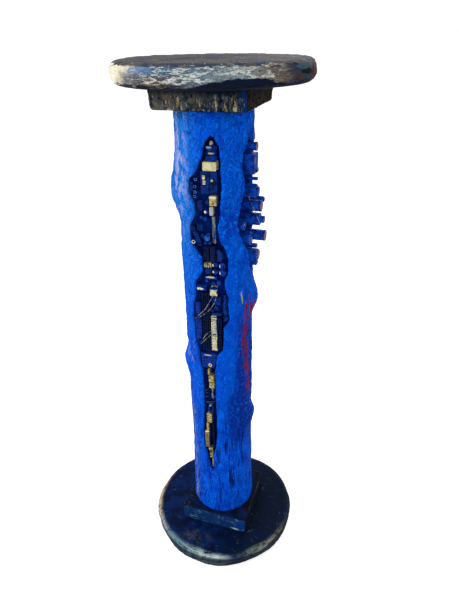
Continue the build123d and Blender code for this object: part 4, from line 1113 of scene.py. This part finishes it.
@dataclass(frozen=True)
class WornPart:
    """An electronic part with broken and worn edges.

    Args:
        node: The CAD node.
        paint: Its finish.
        slot: Its slot; not used.
        bevel: Width of its broken edges, in millimetres.
        rubs: Places of another colour.
    """

    node: str
    paint: Overpaint
    slot: Slot = Slot.BLUE_PLASTIC
    bevel: float = 0.4
    rubs: tuple[Rub, ...] = ()

    def finish(self) -> bpy.types.Material:
        """The part's own material where it has rubs, and its paint's shared one otherwise."""
        if self.rubs:
            return replace(self.paint, name=f"{self.node}_paint", rubs=self.rubs).material()
        return bpy.data.materials.get(self.paint.name) or self.paint.material()

    def build(self) -> bpy.types.Object:
        """Makes the part.

        Returns:
            The part.
        """
        piece = copy_of(self.node, f"worn_{self.node}")
        bpy.ops.object.mode_set(mode="EDIT")
        bpy.ops.mesh.select_all(action="SELECT")
        bpy.ops.mesh.dissolve_limited(angle_limit=FLAT_ANGLE)
        bpy.ops.object.mode_set(mode="OBJECT")
        for _ in range(2):
            plain = bpy.data.materials.get("plain") or bpy.data.materials.new("plain")
            piece.data.materials.append(plain)
        shape(
            piece,
            "BEVEL",
            width=self.bevel * MILLIMETRE,
            segments=2,
            limit_method="ANGLE",
            angle_limit=BEVEL_ANGLE,
            material=1,
        )
        mesh = piece.data
        edges = [1.0] * len(mesh.vertices)
        for polygon in mesh.polygons:
            if polygon.material_index == 0:
                for corner in polygon.vertices:
                    edges[corner] = 0.0
            polygon.material_index = 0
        keep_number(mesh, "edge", edges)
        pick(piece)
        bpy.ops.object.shade_smooth_by_angle(angle=SMOOTH_ANGLE)
        hand_in(piece, self.finish())
        return piece


@dataclass
class FrontNest:
    """The parts of the front opening, from its head down."""

    parts: tuple[WornPart, ...] = (
        WornPart(
            "jack_plug",
            BLUE,
            rubs=(
                FRONT.rub(8.0, 44.5, 10.0, (6, 12, 5), Colour(170, 170, 132)),
                FRONT.rub(5.0, 50.0, 16.0, (9, 12, 2.2), Colour(126, 146, 154)),
                FRONT.rub(9.0, 58.4, 16.0, (8, 12, 2.0), Colour(160, 154, 80)),
            ),
        ),
        WornPart(
            "crystal_can",
            replace(
                GOLD,
                name="crystal_gold",
                paint=Colour(206, 200, 158),
                dark=Colour(180, 172, 130),
                grain=(7, 7, 7),
            ),
            Slot.WORN_GOLD,
        ),
        WornPart("upper_module", DEEP),
        WornPart(
            "module_chips",
            CREAM,
            Slot.WORN_GOLD,
            rubs=(FRONT.rub(-4.0, 114.0, 9.0, (16, 16, 12), BARE_BLUE),),
        ),
        WornPart(
            "test_pin",
            BLACK,
            Slot.WORN_GOLD,
            rubs=(FRONT.rub(8.0, 99.5, 11.0, (3.6, 8, 3.4), Colour(180, 160, 90)),),
        ),
        WornPart(
            "eyelets",
            replace(BLUE, name="eyelet_blue", worn=Colour(150, 190, 220), wear=1.0),
            bevel=0.25,
            rubs=(FRONT.rub(-26.2, 200.5, 11.5, (5.4, 7, 5), PALE),),
        ),
        WornPart("moulded_blocks", DEEP),
        WornPart(
            "gold_terminal", GOLD, Slot.WORN_GOLD, rubs=(FRONT.rub(8.5, 125.4, 13.0, (12, 12, 4.0), PALE),)
        ),
        WornPart("cream_lever", SILVER, Slot.CREAM_PLASTIC),
        WornPart(
            "braid_strap",
            replace(SILVER, name="braid_silver", paint=Colour(126, 134, 118), dark=Colour(34, 58, 96)),
        ),
        WornPart("small_capacitors", BLUE, rubs=(FRONT.rub(-4.6, 149.0, 12.0, (3.4, 4, 3.4), PALE),)),
        WornPart(
            "large_capacitors",
            BLUE,
            # The pale rubs at the left of the can ends are painted highlights.
            rubs=(
                FRONT.rub(5.4, 238.4, 13.5, (2.6, 5, 3.4), PALE),
                FRONT.rub(5.4, 250.6, 12.5, (2.6, 5, 3.4), PALE),
                FRONT.rub(17.0, 239.0, 14.0, (2.2, 5, 4.4), PALE),
                FRONT.rub(17.0, 251.4, 14.0, (2.2, 5, 4.4), PALE),
            ),
        ),
        WornPart(
            "rimmed_capacitor",
            # Its pale rim colour is a painted highlight.
            replace(BLUE, name="rimmed_blue", paint=Colour(20, 96, 190), worn=Colour(96, 150, 202), wear=0.7),
        ),
        WornPart("pin_socket", DEEP),
        WornPart("diagonal_header", DEEP),
        WornPart("relay_left", BLACK, Slot.DARK_PLASTIC),
        WornPart("relay_middle", BLACK, Slot.DARK_PLASTIC),
        WornPart("relay_right", DEEP, Slot.DARK_PLASTIC),
        WornPart(
            "gold_comb",
            replace(GOLD, name="comb_gold", dark=Colour(40, 60, 90)),
            Slot.WORN_GOLD,
            rubs=(FRONT.rub(-12.5, 231.0, 14.0, (11, 9, 4.6), BARE_BLUE),),
        ),
        WornPart(
            # The pale rub along its top edge is a painted highlight.
            "spreader_bar", BLUE, rubs=(FRONT.rub(0.6, 260.6, 14.0, (14, 9, 2.2), Colour(176, 180, 150)),)
        ),
        WornPart(
            "axial_capacitor",
            BLUE,
            # The pale rub along the top of its left end is a painted highlight.
            rubs=(FRONT.rub(-20.0, 283.8, 13.0, (13, 8, 3.6), Colour(206, 210, 196)),),
        ),
        WornPart(
            "cream_connector",
            CREAM,
            Slot.CREAM_PLASTIC,
            rubs=(
                FRONT.rub(11.9, 287.6, 6.0, (3.2, 16, 14), BARE_BLUE),
                FRONT.rub(5.5, 281.4, 14.0, (14, 16, 3.6), BARE_BLUE),
            ),
        ),
        WornPart(
            "slot_connectors",
            replace(BLACK, name="slotted_black", paint=Colour(0, 18, 66), worn=Colour(70, 72, 66), wear=0.4),
            Slot.DARK_PLASTIC,
        ),
        WornPart("tall_capacitor", DEEP),
        WornPart(
            "terminal_stacks",
            replace(
                CREAM,
                name="woven_cream",
                paint=Colour(206, 200, 164),
                dark=Colour(104, 106, 96),
                grain=(2, 2, 2),
            ),
            Slot.CREAM_PLASTIC,
            rubs=(
                FRONT.rub(10.2, 356.0, 5.0, (4.2, 18, 60), BARE_BLUE),
                FRONT.rub(5.0, 337.5, 10.0, (14, 18, 2.0), BARE_BLUE),
                FRONT.rub(5.0, 372.5, 10.0, (14, 18, 1.8), BARE_BLUE),
            ),
        ),
        WornPart(
            "ribbed_stack",
            replace(CREAM, name="ribbed_cream", dark=Colour(140, 136, 112)),
            Slot.CREAM_PLASTIC,
            rubs=(FRONT.rub(10.2, 391.8, 5.0, (4.2, 18, 40), BARE_BLUE),),
        ),
        WornPart("flat_plates", BLUE),
        WornPart("wire_posts", DEEP, Slot.BARE_WIRE),
        WornPart(
            "tab_plate", BLUE, rubs=(FRONT.rub(-10.0, 420.0, 10.5, (12, 8, 3.0), Colour(150, 156, 140)),)
        ),
        WornPart("ring_nut", replace(CREAM, name="nut_cream"), Slot.WORN_GOLD),
        WornPart("brass_strips", GOLD, Slot.WORN_GOLD),
        WornPart(
            "brass_blocks", replace(GOLD, name="block_brass", paint=Colour(186, 176, 118)), Slot.WORN_GOLD
        ),
        WornPart(
            # The pale rub on it is a painted highlight.
            "oval_ferrite", DEEP, rubs=(FRONT.rub(-9.0, 537.0, 12.0, (4, 8, 2.6), Colour(140, 160, 170)),)
        ),
        WornPart(
            "slanted_tabs",
            replace(GOLD, name="tab_gold", paint=Colour(206, 192, 144)),
            Slot.CREAM_PLASTIC,
            rubs=(FRONT.rub(-5.6, 569.0, 6.0, (3.2, 14, 18), BARE_BLUE),),
        ),
        WornPart(
            "brass_bar",
            replace(GOLD, name="bar_brown", paint=Colour(132, 116, 82), dark=Colour(96, 82, 60)),
            Slot.WORN_GOLD,
            rubs=(
                # The pale rub on its top is a painted highlight.
                FRONT.rub(-17.6, 605.0, 12.0, (9, 9, 2.2), PALE),
                FRONT.rub(-12.8, 626.0, 6.0, (2.6, 13, 30), BARE_BLUE),
            ),
        ),
        WornPart("dark_channel", BLACK, Slot.DARK_PLASTIC),
        WornPart("tail_tabs", replace(GOLD, name="tail_gold", dark=Colour(70, 84, 70)), Slot.WORN_GOLD),
    )
    wires: tuple[str, ...] = ("front_wires", "lead_twist")
    leads: tuple[str, ...] = ("lead_arches",)


@dataclass
class SideNest:
    """The parts of the side opening, from its head down."""

    parts: tuple[WornPart, ...] = (
        WornPart("side_top_block", LIT_SIDE_BLUE),
        WornPart(
            "side_capacitors",
            LIT_SIDE_BLUE,
            rubs=(
                SIDE.rub(-2.0, 56.4, 26.0, (3.4, 12, 12), COPPER),
                SIDE.rub(0.4, 149.6, 34.0, (3.4, 16, 16), COPPER),
                SIDE.rub(9.6, 202.4, 39.0, (5.0, 16, 16), COPPER),
                SIDE.rub(15.0, 240.0, 26.5, (3.4, 15, 15), COPPER),
            ),
        ),
        WornPart(
            "ribbed_transformer",
            LIT_SIDE_BLUE,
            rubs=(
                SIDE.rub(-10.0, 76.0, 25.0, (6, 7, 9), OLIVE),
                SIDE.rub(2.0, 90.0, 25.0, (5, 6, 6), Colour(60, 84, 80)),
            ),
        ),
        WornPart("side_pin", LIT_SIDE_BLUE),
        WornPart("hex_cap", LIT_SIDE_BLUE),
        WornPart("domed_can", LIT_SIDE_BLUE, rubs=(SIDE.rub(15.4, 143.0, 36.0, (4, 6, 6), COPPER),)),
        WornPart("coax_plug", LIT_SIDE_BLUE, rubs=(SIDE.rub(0.0, 171.6, 39.0, (3.4, 8, 8), COPPER),)),
        WornPart(
            "pot_core",
            LIT_SIDE_BLUE,
            rubs=(
                SIDE.rub(-21.6, 175.0, 12.0, (6, 3.6, 4.6), Colour(138, 140, 70)),
                SIDE.rub(-28.0, 175.0, 12.0, (6, 2.4, 6), PALE),
            ),
        ),
        WornPart("spot_can", LIT_SIDE_BLUE, rubs=(SIDE.rub(-14.0, 202.0, 21.0, (5, 5, 7), OLIVE),)),
        WornPart(
            "gold_lug", replace(BLUE, name="lug_blue", worn=Colour(206, 186, 120), wear=0.7), Slot.WORN_GOLD
        ),
        WornPart("stacked_plates", LIT_SIDE_BLUE),
    )
    wires: tuple[str, ...] = ("side_wire",)


def dress_wires(nodes: Sequence[str], paint: Overpaint) -> None:
    """Gives wires that are right as they are their finish.

    Args:
        nodes: The CAD nodes.
        paint: Their finish.
    """
    finish = bpy.data.materials.get(paint.name) or paint.material()
    for node in nodes:
        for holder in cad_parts[node].material_slots:
            holder.material = finish
        LOG.info("dressed %s", node)


@dataclass(frozen=True)
class Camera:
    """The camera, where the photograph was taken from."""

    place: tuple[float, float, float] = (0.26940, -0.75657, 0.98591)
    right: tuple[float, float, float] = (0.95192, 0.30607, -0.01318)
    up: tuple[float, float, float] = (-0.13775, 0.46605, 0.87397)
    lens: float = 29.36
    sensor: float = 36.0

    def build(self) -> None:
        """Makes the camera and looks through it."""
        data = bpy.data.cameras.new("camera")
        data.lens = self.lens
        data.sensor_width = self.sensor
        camera = bpy.data.objects.new("camera", data)
        bpy.context.scene.collection.objects.link(camera)
        right = Vector(self.right).normalized()
        back = right.cross(Vector(self.up)).normalized()
        up = back.cross(right)
        turn = Matrix((right, up, back)).transposed().to_4x4()
        camera.matrix_world = Matrix.Translation(self.place) @ turn
        bpy.context.scene.camera = camera


@dataclass(frozen=True)
class Lamp:
    """A soft square lamp that points at the column."""

    name: str
    place: tuple[float, float, float]
    side: float
    power: float

    def build(self, target: Vector) -> None:
        """Makes the lamp."""
        data = bpy.data.lights.new(self.name, "AREA")
        data.size = self.side
        data.energy = self.power
        lamp = bpy.data.objects.new(self.name, data)
        bpy.context.scene.collection.objects.link(lamp)
        lamp.location = self.place
        lamp.rotation_euler = (target - Vector(self.place)).to_track_quat("-Z", "Y").to_euler()


@dataclass(frozen=True)
class Studio:
    """A pale floor, soft lamps and a white surround."""

    lamps: tuple[Lamp, ...] = (
        Lamp("window", (-1.9, -1.7, 2.1), 1.6, 54.0),
        Lamp("fill", (1.9, -1.9, 1.5), 1.8, 20.0),
        Lamp("back", (0.3, 2.2, 2.0), 1.6, 24.0),
    )
    surround: float = 0.55
    floor_side: float = 80.0
    floor_tone: Colour = Colour(236, 236, 236)
    floor_glow: float = 0.64
    floor_roughness: float = 0.9
    floor_specular: float = 0.1

    def build(self) -> None:
        """Makes the floor, the lamps and the surround."""
        middle = Vector((0.0, 0.0, 0.5))
        for lamp in self.lamps:
            lamp.build(middle)
        self.build_world()
        self.build_floor()

    def build_world(self) -> None:
        """Makes the surround, which the camera, gloss and glass see as white."""
        world = bpy.data.worlds.new("surround")
        bpy.context.scene.world = world
        world.use_nodes = True
        nodes = world.node_tree.nodes
        links = world.node_tree.links
        background = nodes["Background"]
        background.inputs["Color"].default_value = WHITE
        rays = nodes.new("ShaderNodeLightPath").outputs
        either = self.larger(nodes, links, rays["Is Glossy Ray"], rays["Is Transmission Ray"])
        seen = self.larger(nodes, links, rays["Is Camera Ray"], either)
        strength = nodes.new("ShaderNodeMapRange")
        strength.inputs["To Min"].default_value = self.surround
        strength.inputs["To Max"].default_value = 1.0
        links.new(seen, strength.inputs["Value"])
        links.new(strength.outputs[0], background.inputs["Strength"])

    def larger(
        self,
        nodes: bpy.types.Nodes,
        links: bpy.types.NodeLinks,
        first: bpy.types.NodeSocket,
        second: bpy.types.NodeSocket,
    ) -> bpy.types.NodeSocket:
        """The larger of two outputs."""
        node = nodes.new("ShaderNodeMath")
        node.operation = "MAXIMUM"
        links.new(first, node.inputs[0])
        links.new(second, node.inputs[1])
        return node.outputs[0]

    def build_floor(self) -> None:
        """Makes the floor, which keeps the column's shadow."""
        deselect()
        bpy.ops.mesh.primitive_plane_add(size=self.floor_side, location=(0.0, 0.0, FLOOR_HEIGHT))
        floor = bpy.context.object
        floor.name = "floor"
        material = bpy.data.materials.new("pale_floor")
        material.use_nodes = True
        shader = material.node_tree.nodes["Principled BSDF"]
        shader.inputs["Base Color"].default_value = self.floor_tone.linear()
        shader.inputs["Roughness"].default_value = self.floor_roughness
        shader.inputs["Specular IOR Level"].default_value = self.floor_specular
        shader.inputs["Emission Color"].default_value = WHITE
        rays = material.node_tree.nodes.new("ShaderNodeLightPath")
        glow = material.node_tree.nodes.new("ShaderNodeMath")
        glow.operation = "MULTIPLY"
        glow.inputs[1].default_value = self.floor_glow
        material.node_tree.links.new(rays.outputs["Is Camera Ray"], glow.inputs[0])
        material.node_tree.links.new(glow.outputs[0], shader.inputs["Emission Strength"])
        floor.data.materials.append(material)


def plaster_pieces() -> tuple[tuple[PlasterPiece, bpy.types.Material], ...]:
    """The plaster pieces and their finishes."""
    shaft = Shaft(
        node="shaft",
        name="plaster_shaft",
        voxel=2.2,
        slot=Slot.BLUE_PLASTER,
        smoothing=1,
        layers=(
            ReliefLayer(0.7, (22, 22, 34)),
            ReliefLayer(0.5, (9, 9, 13)),
            ReliefLayer(0.6, (8, 8, 60), ridged=True, levels=(330.0, 180.0)),
            ReliefLayer(0.95, (15, 15, 26), ridged=True, warp=1.2, levels=(300.0, 420.0)),
        ),
    )
    slab = FlatPiece(
        node="top_slab",
        name="plaster_slab",
        voxel=1.6,
        slot=Slot.NAVY_PLASTER,
        layers=(ReliefLayer(1.0, (34, 34, 12)), ReliefLayer(0.9, (22, 22, 7), ridged=True, warp=0.8)),
    )
    capital = FlatPiece(
        node="capital_plate",
        name="plaster_capital",
        voxel=1.3,
        slot=Slot.NAVY_PLASTER,
        layers=(ReliefLayer(0.9, (16, 16, 26)), ReliefLayer(0.6, (5, 5, 14), ridged=True)),
    )
    plinth = FlatPiece(
        node="base_plinth",
        name="plaster_plinth",
        voxel=1.3,
        slot=Slot.NAVY_PLASTER,
        layers=(ReliefLayer(0.6, (26, 26, 14)), ReliefLayer(0.4, (8, 8, 5), ridged=True)),
    )
    disc = FlatPiece(
        node="base_disc",
        name="plaster_disc",
        voxel=1.6,
        slot=Slot.NAVY_PLASTER,
        layers=(ReliefLayer(0.6, (30, 30, 16)), ReliefLayer(0.4, (12, 12, 5), ridged=True)),
    )
    return (
        (shaft, CobaltPlaster().material()),
        (slab, SlabPatina().material()),
        (capital, CapitalPatina().material()),
        (plinth, PlinthPatina().material()),
        (disc, DiscPatina().material()),
    )


def build_column() -> None:
    """Makes every piece of the column."""
    for plaster, finish in plaster_pieces():
        piece = plaster.build(finish)
        LOG.info("%s: %d points", plaster.name, len(piece.data.vertices))
    front = FrontNest()
    side = SideNest()
    for part in front.parts + side.parts:
        piece = part.build()
        LOG.info("%s: %d points", piece.name, len(piece.data.vertices))
    dress_wires(front.wires + side.wires, BARE)
    dress_wires(
        front.leads, replace(SILVER, name="painted_leads", paint=Colour(60, 84, 110), dark=Colour(0, 24, 74))
    )


def main() -> None:
    """Builds the camera, the studio and the column."""
    logging.basicConfig(level=logging.INFO, format="%(name)s: %(message)s")
    bpy.context.scene.view_settings.view_transform = "Standard"
    Camera().build()
    Studio().build()
    build_column()


if __name__ == "__main__":
    main()
